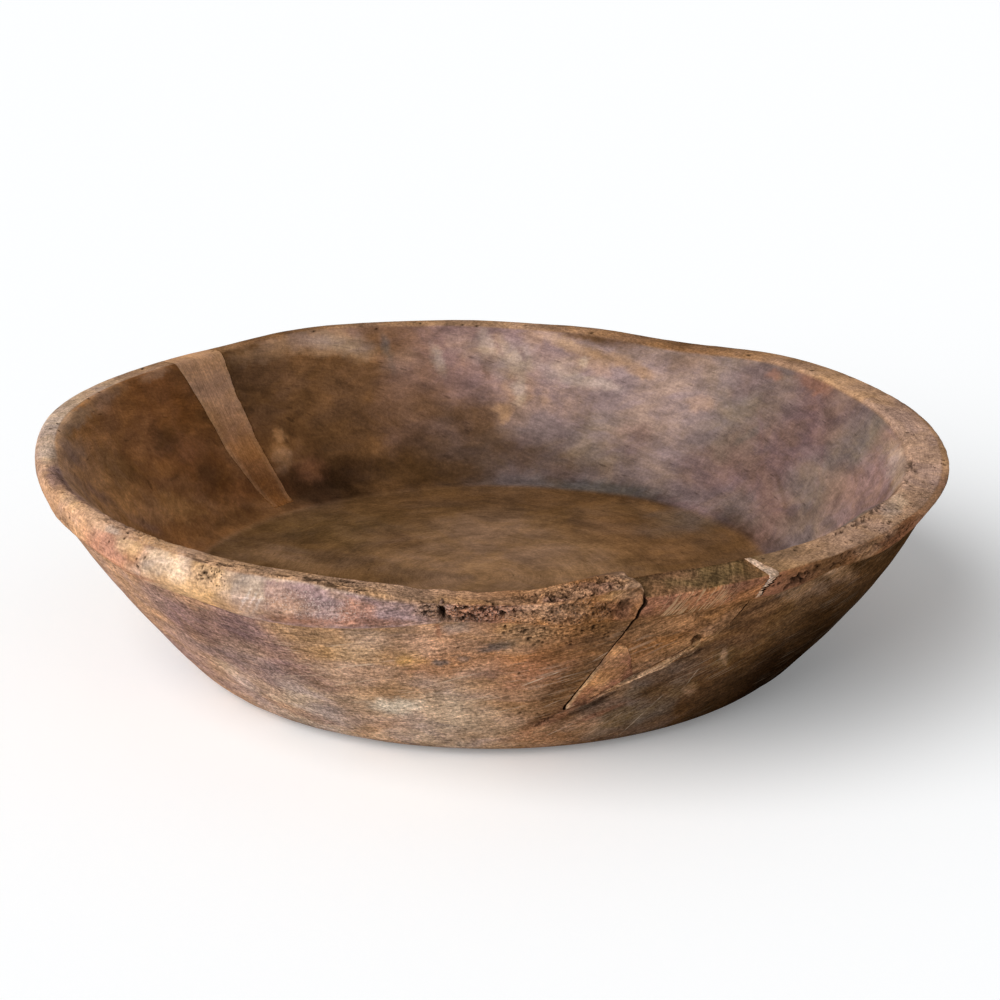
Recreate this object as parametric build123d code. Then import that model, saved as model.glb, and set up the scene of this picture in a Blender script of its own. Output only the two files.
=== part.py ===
"""Round wooden dough bowl, carved from one block, with old repairs let into its wall.

Millimetres, +Z up. The origin is the middle of the foot. -Y is the front, where the cracked patch is,
and angles count from +X, anticlockwise seen from above.
"""

from build123d import *
import math
import os

# Outside of the bowl
RIM_HALF_X = 216.2  # outer edge of the rim before it is rounded, from the middle to the right
RIM_HALF_Y = 223.2  # the same, from the middle to the back
RIM_HEIGHT = 98.0  # mean height of the rim's outer edge
RIM_TILT = 3.0  # rise of the rim's high side above that mean, and fall of its low side
RIM_TILT_ANGLE = 150.0  # where the high side is
RIM_ROUND = 2.0  # worn edges of the rim
BAND_HEIGHT = 13.5  # steeper band that runs round under the rim
BAND_INSET = 7.5  # how far the band's lower edge stands inside the rim's outer edge
FOOT_HALF_X = 146.0  # where the wall's line meets the table, before its corner is rounded
FOOT_HALF_Y = 151.0
FOOT_ROUND = 24.0  # worn corner between the wall and the foot
WALL_BOW = 2.0  # how far the wall bows out, half way up

# Waves along the rim: angle of the middle, half width in degrees, rise
RIM_WAVES = (
    (62.0, 14.0, -5.0),
    (134.0, 10.0, -1.8),
    (175.0, 14.0, 1.8),
    (208.0, 10.0, 1.5),
    (248.0, 8.0, 1.6),
    (282.0, 8.0, 4.6),
    (312.0, 16.0, 2.6),
)

# Hollow of the bowl
RIM_THICKNESS = 16.0  # mean width of the rim's top
RIM_FALL = 1.5  # how much the rim's top leans down towards the outside
RIM_SHIFT = -3.0  # the hollow's mouth lies off centre, so the rim is thinner at the left than at the right
FLOOR_THICKNESS = 25.0
FLOOR_HALF_X = 143.0  # edge of the flat floor
FLOOR_HALF_Y = 147.0
FLOOR_SHIFT = -5.0  # the floor lies off centre, towards the left
FLOOR_ROUND = 5.0  # corner between the floor and the wall
HOLLOW_BOW = 3.0  # how far the hollow bows out, half way up

# Wedge let into the back of the wall, from the rim almost to the floor
WEDGE_ANGLE = 139.0
WEDGE_TOP_WIDTH = 36.5  # at the mean rim height
WEDGE_FOOT_WIDTH = 12.0
WEDGE_FOOT_SHIFT = -6.0  # sideways place of the foot's middle
WEDGE_ABOVE_FLOOR = 4.0
WEDGE_GLUE = 0.5  # thickness of the glue line round the wedge

# Cracked patch in the front of the wall. Points are across the patch, to the right, and below the mean rim
PATCH_ANGLE = 289.0
PATCH_LEFT_TOP = -11.5
PATCH_LEFT_BEND = (-13.0, 15.0)
PATCH_TIP_ACROSS = -31.0
PATCH_TIP_ABOVE_FLOOR = 3.0
PATCH_LOWER_BEND = (-4.0, 48.5)
PATCH_RIGHT_FOOT = (34.0, 25.5)
PATCH_RIGHT_BEND = (43.0, 12.0)
PATCH_RIGHT_TOP = 46.0
TONGUE_TOP_DROP = 28.0  # top of the sliver along the crack, below the mean rim
TONGUE_TOP_WIDTH = 5.5
CRACK_GAP = 1.2  # open crack along the patch's left side
FILLER_WIDTH = 2.2  # frayed bead of filler along the patch's lower side
PUTTY_WIDTH = 3.5  # pale putty at the right end of the patch

RING_SECTORS = 6  # stretches of each outline round the bowl
SECTOR_POINTS = 12  # points of each stretch
SECTOR_START = 30.0  # where the first stretch begins, so that no repair lies across two
CUT_SPARE = 25.0  # how far each cut reaches past the wall


def rim_height(angle):
    """Height of the rim's outer edge at an angle."""
    height = RIM_HEIGHT + RIM_TILT * math.cos(math.radians(angle - RIM_TILT_ANGLE))
    for middle, half_width, rise in RIM_WAVES:
        away = math.remainder(angle - middle, 360)
        height += rise * math.exp(-((away / half_width) ** 2))
    return height


def ring(half_x, half_y, height_at, shift=0.0):
    """Closed outline round the bowl. height_at gives the height at an angle, and shift moves it along X."""
    points = []
    count = RING_SECTORS * SECTOR_POINTS
    for step in range(count):
        angle = SECTOR_START + 360 * step / count
        turn = math.radians(angle)
        points.append((shift + half_x * math.cos(turn), half_y * math.sin(turn), height_at(angle)))
    whole = Edge.make_spline(points, periodic=True)
    inner_ends = [whole.param_at_point(point) for point in points[SECTOR_POINTS::SECTOR_POINTS]]
    ends = [0.0, *inner_ends, 1.0]
    return Wire([whole.trim(start, end) for start, end in zip(ends, ends[1:])])


def level(height):
    """A height that is the same all round."""
    return lambda angle: height


def middle_ring(low, high, bow):
    """Level outline half way between two others, moved out by bow. Each is half_x, half_y, height, shift."""
    half_x, half_y, height, shift = [(a + b) / 2.0 for a, b in zip(low, high)]
    return ring(half_x + bow, half_y + bow, level(height), shift)


def make_wall():
    """The whole bowl, before any repair is let in."""
    band_low = RIM_HEIGHT - BAND_HEIGHT
    inner_x = RIM_HALF_X - RIM_THICKNESS
    inner_y = RIM_HALF_Y - RIM_THICKNESS
    foot_at = (FOOT_HALF_X, FOOT_HALF_Y, 0.0, 0.0)
    shoulder_at = (RIM_HALF_X - BAND_INSET, RIM_HALF_Y - BAND_INSET, band_low, 0.0)
    floor_at = (FLOOR_HALF_X, FLOOR_HALF_Y, FLOOR_THICKNESS, FLOOR_SHIFT)
    inner_at = (inner_x, inner_y, RIM_HEIGHT, RIM_SHIFT)

    foot = ring(FOOT_HALF_X, FOOT_HALF_Y, level(0.0))
    waist = middle_ring(foot_at, shoulder_at, WALL_BOW)
    shoulder = ring(shoulder_at[0], shoulder_at[1], level(band_low))
    rim_outside = ring(RIM_HALF_X, RIM_HALF_Y, rim_height)
    rim_inside = ring(inner_x, inner_y, lambda angle: rim_height(angle) + RIM_FALL, RIM_SHIFT)
    hollow = middle_ring(floor_at, inner_at, HOLLOW_BOW)
    floor = ring(FLOOR_HALF_X, FLOOR_HALF_Y, level(FLOOR_THICKNESS), FLOOR_SHIFT)

    faces = [Face(foot), Face(floor)]
    faces += Shell.make_loft([foot, waist, shoulder]).faces()
    faces += Shell.make_loft([shoulder, rim_outside], ruled=True).faces()
    faces += Shell.make_loft([rim_outside, rim_inside], ruled=True).faces()
    faces += Shell.make_loft([rim_inside, hollow, floor]).faces()
    bowl = Solid(Shell(faces))

    flat_faces = bowl.faces().filter_by(GeomType.PLANE).sort_by(Axis.Z)
    bowl = bowl.fillet(FOOT_ROUND, flat_faces[0].edges())
    flat_faces = bowl.faces().filter_by(GeomType.PLANE).sort_by(Axis.Z)
    bowl = bowl.fillet(FLOOR_ROUND, flat_faces[-1].edges())
    high_edges = [edge for edge in bowl.edges() if edge.bounding_box().min.Z > band_low + RIM_ROUND]
    return bowl.fillet(RIM_ROUND, [edge for edge in high_edges if edge.length > 2.0 * RIM_THICKNESS])


def cutter(angle, points):
    """Prism through the wall at an angle. Points are across, to the right seen from outside, and height."""
    turn = math.radians(angle)
    outwards = Vector(math.cos(turn), math.sin(turn), 0.0)
    across = Vector(-math.sin(turn), math.cos(turn), 0.0)
    start = min(FLOOR_HALF_X, FLOOR_HALF_Y) - CUT_SPARE
    length = max(RIM_HALF_X, RIM_HALF_Y) + CUT_SPARE - start
    plane = Plane(origin=outwards * start, x_dir=across, z_dir=outwards)
    outline = plane * make_face(Polyline(*points, close=True))
    return extrude(outline, amount=length, dir=outwards)


def rear_wedge_points(grow):
    """Outline of the rear wedge, grown by a thickness of glue at its sides and foot."""
    foot = FLOOR_THICKNESS + WEDGE_ABOVE_FLOOR
    top = RIM_HEIGHT + CUT_SPARE
    left_foot = WEDGE_FOOT_SHIFT - WEDGE_FOOT_WIDTH / 2.0
    right_foot = WEDGE_FOOT_SHIFT + WEDGE_FOOT_WIDTH / 2.0
    stretch = (top - foot) / (RIM_HEIGHT - foot)
    left_top = left_foot + (-WEDGE_TOP_WIDTH / 2.0 - left_foot) * stretch
    right_top = right_foot + (WEDGE_TOP_WIDTH / 2.0 - right_foot) * stretch
    return [
        (left_foot - grow, foot - grow),
        (right_foot + grow, foot - grow),
        (right_top + grow, top),
        (left_top - grow, top),
    ]


def below_rim(point):
    """Across and height of a point that is given across and below the mean rim."""
    return (point[0], RIM_HEIGHT - point[1])


def moved(points, across, height):
    """The same points, moved across and up."""
    return [(x + across, z + height) for x, z in points]


def front_outlines():
    """Outlines of the front repair: its two pieces of wood, its filler, its putty and the open crack."""
    top = RIM_HEIGHT + CUT_SPARE
    left_top = (PATCH_LEFT_TOP, top)
    left_bend = below_rim(PATCH_LEFT_BEND)
    tip = (PATCH_TIP_ACROSS, FLOOR_THICKNESS + PATCH_TIP_ABOVE_FLOOR)
    lower_bend = below_rim(PATCH_LOWER_BEND)
    right_foot = below_rim(PATCH_RIGHT_FOOT)
    right_bend = below_rim(PATCH_RIGHT_BEND)
    right_top = (PATCH_RIGHT_TOP, top)

    tongue_height = RIM_HEIGHT - TONGUE_TOP_DROP
    share = (left_bend[1] - tongue_height) / (left_bend[1] - tip[1])
    tongue_left = (left_bend[0] + share * (tip[0] - left_bend[0]), tongue_height)
    tongue_right = (tongue_left[0] + TONGUE_TOP_WIDTH, tongue_height)

    run = Vector(right_foot[0] - tip[0], right_foot[1] - tip[1]).normalized()
    lower_side = [tip, lower_bend, right_foot]
    filler_side = moved(lower_side, run.Y * FILLER_WIDTH, -run.X * FILLER_WIDTH)
    left_side = [left_top, left_bend, tip]
    crack_side = moved(left_side, -CRACK_GAP, 0.0)
    right_side = [right_bend, right_top]
    putty_side = moved(right_side, PUTTY_WIDTH, 0.0)
    return {
        "patch": [
            left_top,
            left_bend,
            tongue_left,
            tongue_right,
            lower_bend,
            right_foot,
            right_bend,
            right_top,
        ],
        "tongue": [tongue_left, tip, lower_bend, tongue_right],
        "filler": lower_side + filler_side[::-1],
        "putty": right_side + putty_side[::-1],
        "crack": left_side + crack_side[::-1],
    }


wall = make_wall()
wedge = cutter(WEDGE_ANGLE, rear_wedge_points(0.0))
wedge_seat = cutter(WEDGE_ANGLE, rear_wedge_points(WEDGE_GLUE))
front = {name: cutter(PATCH_ANGLE, points) for name, points in front_outlines().items()}

bowl_body = wall - wedge_seat
for piece in front.values():
    bowl_body -= piece

parts = {
    "bowl_body": bowl_body,
    "rear_wedge": wall & wedge,
    "rear_wedge_glue": (wall & wedge_seat) - wedge,
    "front_rim_patch": wall & front["patch"],
    "front_tongue": wall & front["tongue"],
    "front_seam_filler": wall & front["filler"],
    "rim_seam_putty": wall & front["putty"],
}

os.makedirs("parts", exist_ok=True)
for name, part in parts.items():
    export_step(part, f"parts/{name}.step")
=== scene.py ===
import math

import bpy
import numpy as np
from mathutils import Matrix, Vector
from mathutils.geometry import tessellate_polygon


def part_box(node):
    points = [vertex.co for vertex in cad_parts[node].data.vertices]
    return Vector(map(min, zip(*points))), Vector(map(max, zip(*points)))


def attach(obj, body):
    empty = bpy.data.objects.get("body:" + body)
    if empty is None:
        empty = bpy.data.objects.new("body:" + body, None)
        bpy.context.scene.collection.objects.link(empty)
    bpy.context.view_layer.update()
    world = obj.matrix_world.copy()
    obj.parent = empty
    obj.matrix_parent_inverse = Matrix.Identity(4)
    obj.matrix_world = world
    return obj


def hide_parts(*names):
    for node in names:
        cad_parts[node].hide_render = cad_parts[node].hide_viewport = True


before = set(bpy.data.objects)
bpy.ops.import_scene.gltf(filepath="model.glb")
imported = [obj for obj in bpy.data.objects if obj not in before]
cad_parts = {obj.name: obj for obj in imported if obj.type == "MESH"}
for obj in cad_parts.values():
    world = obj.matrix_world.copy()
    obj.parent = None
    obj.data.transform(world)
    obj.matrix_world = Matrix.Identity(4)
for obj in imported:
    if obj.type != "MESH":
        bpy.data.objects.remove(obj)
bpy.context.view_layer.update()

# Round wooden dough bowl with old repairs, worn and stained. Shapes are worked out in millimetres and turned
# into metres when a mesh is made. Angles count from +X, anticlockwise seen from above: the front is at 270.
MM = 0.001
SEED = 7

# Camera and light
CAMERA_VIEW = 24.0  # degrees across the picture
CAMERA_RISE = 18.6  # degrees above the table
CAMERA_AWAY = 1136.0
CAMERA_TARGET = (4.0, 0.0, 65.0)
KEY_ANGLE = 220.0  # where the soft key light stands, round the bowl
KEY_RISE = 35.0
KEY_SOFT = 60.0  # degrees across
KEY_STRENGTH = 3.28
ROOM_STRENGTH = 0.31
FLOOR_COLOUR = (0.92, 0.92, 0.92, 1.0)
FLOOR_SHOWN = (0.908, 0.92, 0.93, 1.0)  # and as the camera sees it, against the wood's warm shine
FLOOR_LIFT = 0.16  # brightness that the camera sees on the floor besides the light on it
FLOOR_REACH = 20.0  # half the width of the stage's floor, in metres

# Sizes of the carved block
EDGE_WEAR = 1.2  # what the rounding takes off the rim's outer edge
body_low, body_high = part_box("bowl_body")
RIM_HALF_X = (body_high.x - body_low.x) / MM / 2 + EDGE_WEAR
RIM_HALF_Y = (body_high.y - body_low.y) / MM / 2 + EDGE_WEAR
RIM_HEIGHT = 98.0
RIM_TILT = 3.0
RIM_TILT_ANGLE = 150.0
RIM_THICKNESS = 16.0
RIM_SHIFT = -3.0
RIM_FALL = 0.4
BAND_HEIGHT = 13.5
BAND_INSET = 7.5
BAND_LEDGE = 1.3  # small step under the band
FOOT_HALF = (146.0, 151.0)
FOOT_ROUND = 24.0
HEEL_TURN = 50.0  # degrees between the foot and the wall
WALL_BOW = 2.0
FLOOR_HEIGHT = 25.0
FLOOR_HALF = (143.0, 147.0)
FLOOR_SHIFT = -5.0
HOLLOW_BOW = 3.0
CRACK_ANGLE = 286.2  # where the open crack crosses the rim
WORM_ANGLE = 272.0  # middle of the part of the rim that beetles have eaten

# Waves along the rim: angle of the middle, half width in degrees, rise
RIM_WAVES = (
    (27, 12, -0.9), (30, 22, 1.5), (62, 14, -5.0), (68, 12, 1.0), (83, 8, -1.1), (120, 12, 1.3),
    (134, 10, -1.8), (149, 8, -0.9), (177, 13, 2.0), (208, 10, 1.5), (236, 8, 1.2), (249, 8, 1.8),
    (259, 5, 1.4), (312, 16, 2.4), (326, 4, 1.0), (85, 42, -1.0),
)
RIM_BUMP = (285.5, 7.2, 6.5)  # knobbly rise that ends at the crack
FALL_WAVES = ((299, 10, 2.6), (326, 11, 3.2))
CREST_WAVES = ((85, 42, 2.8), (216, 16, 3.2))  # inner edge higher than the outer
FALL_STEP = (288, 8, 2.6)  # begins at the crack
BEVEL_WAVES = ((230, 14, 8.0), (250, 7, 4.5))  # how far in the outer edge of the rim's top lies
BEVEL_RISE = ((230, 14, 1.5), (250, 7, 1.8))  # and how much higher
BULGE_WAVES = ((345, 35, 4.2), (194, 25, 1.6))  # how much more the wall bows out
BAND_BULGE = (208, 20, 2.0)
BAND_WAVES = ((226, 6, -2.0), (245, 14, -6.0), (268, 7, 2.8), (314, 6, 2.5))
ROUGHNESS_WAVES = (
    (205, 12, 0.4), (232, 10, 0.6), (265, 9, 1.0), (282, 6, 1.2), (307, 8, 0.9), (325, 12, 0.3),
)
PLAIN_ROUGHNESS = 0.18
ROUND_WAVES = ((208, 18, 1.0), (85, 40, 0.5))  # where the rim is worn round

# Rows of points from the middle of the foot, up the outside, over the rim and down to the middle of the floor
ROWS = {"foot": 14, "heel": 14, "wall": 100, "band": 36, "top": 36, "inner": 76, "floor": 60}
FINE_STEP = 0.2  # degrees between points at the front
FINEST_STEP = 0.12  # and at the worm-eaten rim
PLAIN_STEP = 0.45
FINE_FROM, FINE_TO = 184.0, 342.0
FINEST_FROM, FINEST_TO = 256.0, 303.0
STEP_BLEND = 4.0  # degrees over which the step changes

# Repairs, as across to the right seen from outside, height, and lean of the cut along the wall
CUT_NEAR, CUT_FAR = 118.0, 250.0  # reach of each cut, out from the middle
CUT_TOP = RIM_HEIGHT + 25.0
WEDGE_ANGLE = 139.0
WEDGE_LOW = 29.0
WEDGE_LEFT = (
    (3.0, WEDGE_LOW), (7.0, 38.0), (12.4, 58.0), (13.8, 78.0), (18.2, 98.0), (24.5, CUT_TOP),
)
WEDGE_RIGHT = (
    (-10.5, WEDGE_LOW), (-11.2, 38.0), (-10.2, 58.0), (-11.4, 78.0), (-14.2, 98.0), (-16.5, CUT_TOP),
)
WEDGE_GLUE = 0.5
PATCH_ANGLE = 289.0
CRACK_LINE = (
    (-11.5, CUT_TOP, 0), (-11.0, 100.0, 0), (-10.2, 93.0, 0), (-12.6, 83.0, 0), (-17.2, 70.0, 0),
    (-26.0, 40.0, 0), (-27.6, 33.5, 0), (-26.8, 31.0, 0),
)
SEAM_LINE = (
    (-26.8, 31.0, 0), (-19.0, 36.5, 0), (-4.0, 49.5, 0), (12.5, 59.0, 0), (22.5, 66.0, 0), (34.0, 72.5, 0),
)
RIGHT_LINE = ((34.0, 72.5, 0), (41.5, 86.0, 0.1), (43.8, 96.0, 0.3), (44.5, CUT_TOP, 0.34))
TONGUE_LINE = ((-17.2, 70.0, 0), (-11.8, 69.0, 0), (-7.5, 61.0, 0), (-4.0, 49.5, 0))
LEAN_FROM = 213.0  # how far out a leaning side is at its given place
# Width of the open crack: height, width
CRACK_GAPS = (
    (31.0, 1.3), (36.0, 1.0), (44.0, 0.6), (58.0, 0.45), (72.0, 0.6), (85.0, 1.3), (CUT_TOP, 1.6),
)
FILLER_WIDTH = 5.2
END_GAP = 0.8  # open end of the patch, under the putty
PUTTY_WIDTH = 4.6
PUTTY_MIDDLE = 97.0  # height at which it is widest
PUTTY_TAPER = 0.19  # how much it narrows towards the hollow
TONGUE_GAP = 0.15  # open joint between the patch and the tongue
PATCH_GRAIN, TONGUE_GRAIN, FILLER_GRAIN = 24.0, 62.0, 34.0  # lean of their grain, in degrees
SAW_LEAN = 66.0  # lean of the saw marks on the patch


def ease(value, start, end):
    """Smooth step from 0 at start to 1 at end, either way round."""
    share = np.clip((value - start) / (end - start), 0.0, 1.0)
    return share * share * (3.0 - 2.0 * share)


def turn_between(angles, middle):
    """Signed turn from a middle angle, in degrees from -180 to 180."""
    return (angles - middle + 180.0) % 360.0 - 180.0


def waves(angles, table):
    """Sum of rounded waves along the rim."""
    total = np.zeros_like(angles)
    for middle, half_width, rise in table:
        total += rise * np.exp(-((turn_between(angles, middle) / half_width) ** 2))
    return total


LATTICE = np.random.default_rng(SEED).random((32, 32, 32), dtype=np.float32) * 2.0 - 1.0


def turned(along, up, tilt):
    """The same places along and across a line that is tilted by so many degrees."""
    turn = math.radians(tilt)
    return along * math.cos(turn) + up * math.sin(turn), up * math.cos(turn) - along * math.sin(turn)


def noise(points, size, seed=0):
    """Smooth noise from -1 to 1, with lumps of about that size. A size of three numbers stretches it."""
    places = points / np.asarray(size, float) + 11.7 * seed
    cell = np.floor(places).astype(np.int32)
    part = (places - cell).astype(np.float32)
    part = part * part * (3.0 - 2.0 * part)
    x0, y0, z0 = (cell % 32).T
    x1, y1, z1 = ((cell + 1) % 32).T
    a, b, c = part.T
    front = LATTICE[x0, y0, z0] * (1 - a) + LATTICE[x1, y0, z0] * a
    back = LATTICE[x0, y1, z0] * (1 - a) + LATTICE[x1, y1, z0] * a
    near = front * (1 - b) + back * b
    front = LATTICE[x0, y0, z1] * (1 - a) + LATTICE[x1, y0, z1] * a
    back = LATTICE[x0, y1, z1] * (1 - a) + LATTICE[x1, y1, z1] * a
    return near * (1 - c) + (front * (1 - b) + back * b) * c


def rough_noise(points, size, octaves=3, seed=0):
    """Noise with finer lumps on it, about -1 to 1."""
    total, weight, share = 0.0, 1.0, 0.0
    for octave in range(octaves):
        total = total + weight * noise(points, np.asarray(size, float) / 2.0**octave, seed + octave)
        share += weight
        weight *= 0.55
    return total / share * 1.5


# Plain shape of the bowl


def rim_height(angles):
    """Height of the rim's outer edge."""
    height = RIM_HEIGHT + RIM_TILT * np.cos(np.radians(angles - RIM_TILT_ANGLE)) + waves(angles, RIM_WAVES)
    before_crack = ease(turn_between(angles, CRACK_ANGLE), 0.7, -0.3)
    return height + waves(angles, (RIM_BUMP,)) * before_crack


def rim_fall(angles):
    """How much the rim's top leans down towards the outside."""
    after_crack = ease(turn_between(angles, CRACK_ANGLE), -0.3, 0.7)
    fall = RIM_FALL + waves(angles, CREST_WAVES)
    return fall + (waves(angles, FALL_WAVES) + waves(angles, (FALL_STEP,))) * after_crack


def band_low(angles):
    """Height of the band's lower edge."""
    return RIM_HEIGHT - BAND_HEIGHT + waves(angles, BAND_WAVES)


def wall_bow(angles):
    """How much the wall bows out at its middle."""
    return WALL_BOW + waves(angles, BULGE_WAVES)


def ring_angles():
    """Angles of the points of each level line, closer at the front."""
    step = 0.05
    fine = np.arange(0.0, 360.0, step)
    front, rim = [
        ease(fine, start - STEP_BLEND, start) * ease(fine, end + STEP_BLEND, end)
        for start, end in ((FINE_FROM, FINE_TO), (FINEST_FROM, FINEST_TO))
    ]
    density = 1.0 / (PLAIN_STEP + (FINE_STEP - PLAIN_STEP) * front + (FINEST_STEP - FINE_STEP) * rim)
    total = np.concatenate([[0.0], np.cumsum(density)]) * step
    count = int(total[-1])
    return np.interp(np.arange(count) / count * total[-1], total, np.arange(len(total)) * step)


def between(low, high, share, bow=0.0):
    """Level line between two others, moved out at its middle. Each is half x, half y, height, shift."""
    half_x, half_y, height, shift = [a + (b - a) * share for a, b in zip(low, high)]
    out = 4.0 * bow * share * (1.0 - share)
    return half_x + out, half_y + out, height, shift


def steps(count):
    """Even shares above 0, up to 1."""
    return np.linspace(0.0, 1.0, count + 1)[1:]


def level_lines(angles):
    """Points of all level lines of the plain bowl, and the rows of each stretch."""
    run = FOOT_ROUND * math.tan(math.radians(HEEL_TURN / 2))
    flat_x, flat_y = FOOT_HALF[0] - run, FOOT_HALF[1] - run
    rim_z = rim_height(angles)
    shoulder = (RIM_HALF_X - BAND_INSET, RIM_HALF_Y - BAND_INSET, band_low(angles), 0.0)
    under = (shoulder[0] - BAND_LEDGE, shoulder[1] - BAND_LEDGE, shoulder[2], 0.0)
    bevel = waves(angles, BEVEL_WAVES)
    rim = (RIM_HALF_X - bevel, RIM_HALF_Y - bevel, rim_z + waves(angles, BEVEL_RISE), 0.0)
    mouth = (RIM_HALF_X - RIM_THICKNESS, RIM_HALF_Y - RIM_THICKNESS, rim_z + rim_fall(angles), RIM_SHIFT)
    band_bow = 0.8 * bevel + waves(angles, (BAND_BULGE,))
    floor = (*FLOOR_HALF, FLOOR_HEIGHT, FLOOR_SHIFT)
    middle = (0.0, 0.0, FLOOR_HEIGHT, FLOOR_SHIFT)
    heel_height = FOOT_ROUND * (1.0 - math.cos(math.radians(HEEL_TURN)))
    heel_share = heel_height / (RIM_HEIGHT - BAND_HEIGHT)
    heel = []
    for turn in np.radians(HEEL_TURN) * steps(ROWS["heel"]):
        out = FOOT_ROUND * math.sin(turn)
        heel.append((flat_x + out, flat_y + out, FOOT_ROUND * (1.0 - math.cos(turn)), 0.0))
    wall_shares = heel_share + (1.0 - heel_share) * steps(ROWS["wall"])
    stretches = {
        "foot": [(flat_x * share, flat_y * share, 0.0, 0.0) for share in steps(ROWS["foot"])],
        "heel": heel,
        "wall": [between((*FOOT_HALF, 0.0, 0.0), under, share, wall_bow(angles)) for share in wall_shares],
        "band": [between(shoulder, rim, share, band_bow) for share in np.linspace(0.0, 1.0, ROWS["band"])],
        "top": [between(rim, mouth, share) for share in steps(ROWS["top"])],
        "inner": [between(mouth, floor, share, HOLLOW_BOW) for share in steps(ROWS["inner"])],
        "floor": [between(floor, middle, share) for share in steps(ROWS["floor"])[:-1]],
    }
    turn = np.radians(angles)
    rows, spans = [], {}
    for name, lines in stretches.items():
        spans[name] = slice(len(rows), len(rows) + len(lines))
        for half_x, half_y, height, shift in lines:
            x, y = shift + half_x * np.cos(turn), half_y * np.sin(turn)
            rows.append(np.stack([x, y, np.broadcast_to(height, x.shape)], axis=1))
    return np.array(rows), spans


def round_corners(points, spans, angles):
    """Wears the corners of the rim, the band and the floor along the profile, most at the left of the rim."""
    wear = np.zeros(points.shape[:2])
    for row, reach, amount in (
        (spans["band"].start, 2, 0.3),
        (spans["top"].start, 5, 1.0),
        (spans["inner"].start, 6, 1.0),
    ):
        wear[row - reach : row + reach] = amount
    soft = np.zeros_like(wear)
    rim = spans["top"]
    soft[rim.start - 24 : rim.stop + 18] = waves(angles, ROUND_WAVES)
    low = spans["floor"].start
    soft[low - 8 : low + 8] = 0.9
    rim_rows, low_rows = slice(rim.start - 36, rim.stop + 36), slice(low - 12, low + 12)
    all_rows = slice(0, len(points))
    for weight, times, rows in ((wear, 10, all_rows), (soft, 320, rim_rows), (soft, 40, low_rows)):
        part, share = points[rows], 0.6 * weight[rows][1:-1, :, None]
        for _ in range(times):
            part[1:-1] += share * ((part[:-2] + part[2:]) / 2.0 - part[1:-1])


def outward(points):
    """Unit normals of the grid of points, out of the wood."""
    along = np.roll(points, -1, axis=1) - np.roll(points, 1, axis=1)
    normal = np.cross(along, np.gradient(points, axis=0))
    return normal / np.maximum(np.linalg.norm(normal, axis=2, keepdims=True), 1e-9)


# Where a point of the bowl lies

WALL_LEAN = 1.25  # length along the sloping wall for each millimetre of height
INNER_RADIUS = (145.0, 0.72)  # of the hollow at the height of the table, and growth for each millimetre up
OUTER_RADIUS = (152.0, 0.68)
SPOT_ROUGH = 0.55  # how ragged the edge of a spot is
LEAST_LUMP = 1.2  # smallest step of that ragged edge


class Place:
    """Angle, height and side of each of many points."""

    def __init__(self, points):
        x, y, z = points.T
        self.points = points
        self.height = z
        self.angle = np.degrees(np.arctan2(y / RIM_HALF_Y, x / RIM_HALF_X)) % 360.0
        radius = np.hypot(x, y * RIM_HALF_X / RIM_HALF_Y)
        up = np.clip(z / (RIM_HEIGHT - BAND_HEIGHT), 0.0, 1.2)
        shoulder = RIM_HALF_X - BAND_INSET
        outside = FOOT_HALF[0] + (shoulder - FOOT_HALF[0]) * up + 4 * wall_bow(self.angle) * up * (1 - up)
        share = np.clip((z - FLOOR_HEIGHT) / (RIM_HEIGHT - FLOOR_HEIGHT), 0.0, 1.2)
        mouth = RIM_HALF_X - RIM_THICKNESS
        inside = FLOOR_HALF[0] + (mouth - FLOOR_HALF[0]) * share + 4 * HOLLOW_BOW * share * (1 - share)
        inside += (FLOOR_SHIFT + (RIM_SHIFT - FLOOR_SHIFT) * share) * np.cos(np.radians(self.angle))
        self.depth = (radius - inside) / (outside - inside)
        rim = rim_height(self.angle)
        fall = rim_fall(self.angle)
        level = rim + fall * np.clip(1.0 - self.depth, 0.0, 1.0)
        bevel = waves(self.angle, BEVEL_WAVES) / RIM_THICKNESS
        self.rounding = np.clip(4.0 * bevel + waves(self.angle, ROUND_WAVES), 0.0, 1.0)
        worn_round = self.rounding * ease(level - z, 14.0, 8.0)
        between_edges = ease(self.depth, 0.99 - bevel, 0.9 - bevel) * ease(self.depth, 0.0, 0.1)
        self.top = ease(level - z, 2.6 + 3.0 * worn_round, 1.0 + 3.0 * worn_round) * between_edges
        split = 0.5 - 0.42 * worn_round
        outer = ease(self.depth, split - 0.05, split + 0.05)
        low = band_low(self.angle)
        self.band = outer * ease(z, low - 0.8, low + 0.6) * (1.0 - self.top)
        self.wall = outer * (1.0 - self.top) - self.band
        # Towards the back the floor's own tone stops up to 14 mm short of its edge, so that the hollow's
        # tones and the painted shade of the crease reach onto the floor
        edge = FLOOR_HALF[0] - 14.0 * np.clip(y / FLOOR_HALF[1], 0.0, 1.0)
        self.floor = ease(z, FLOOR_HEIGHT + 4.0, FLOOR_HEIGHT + 1.2) * ease(radius, edge + 9.0, edge + 3.0)
        self.floor *= ease(z, FLOOR_HEIGHT - 9.0, FLOOR_HEIGHT - 6.0)
        self.inner = np.clip((1.0 - outer) * (1.0 - self.top) - self.floor, 0.0, 1.0)
        self.foot = ease(z, 1.4, 0.4)
        self.near_rim = level - z

    def side(self, name):
        """How much each point belongs to a side."""
        return self.inner if name == "in" else getattr(self, name)

    def offsets(self, side, angle, height):
        """Millimetres along and up the surface from a spot on a side."""
        if side == "floor":
            return self.points[:, 0] - angle, self.points[:, 1] - height
        turn = np.radians(turn_between(self.angle, angle))
        if side == "top":
            return turn * (RIM_HALF_X - RIM_THICKNESS / 2), (self.depth - height) * RIM_THICKNESS
        start, growth = INNER_RADIUS if side == "in" else OUTER_RADIUS
        return turn * (start + growth * height), (self.height - height) * WALL_LEAN


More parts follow.
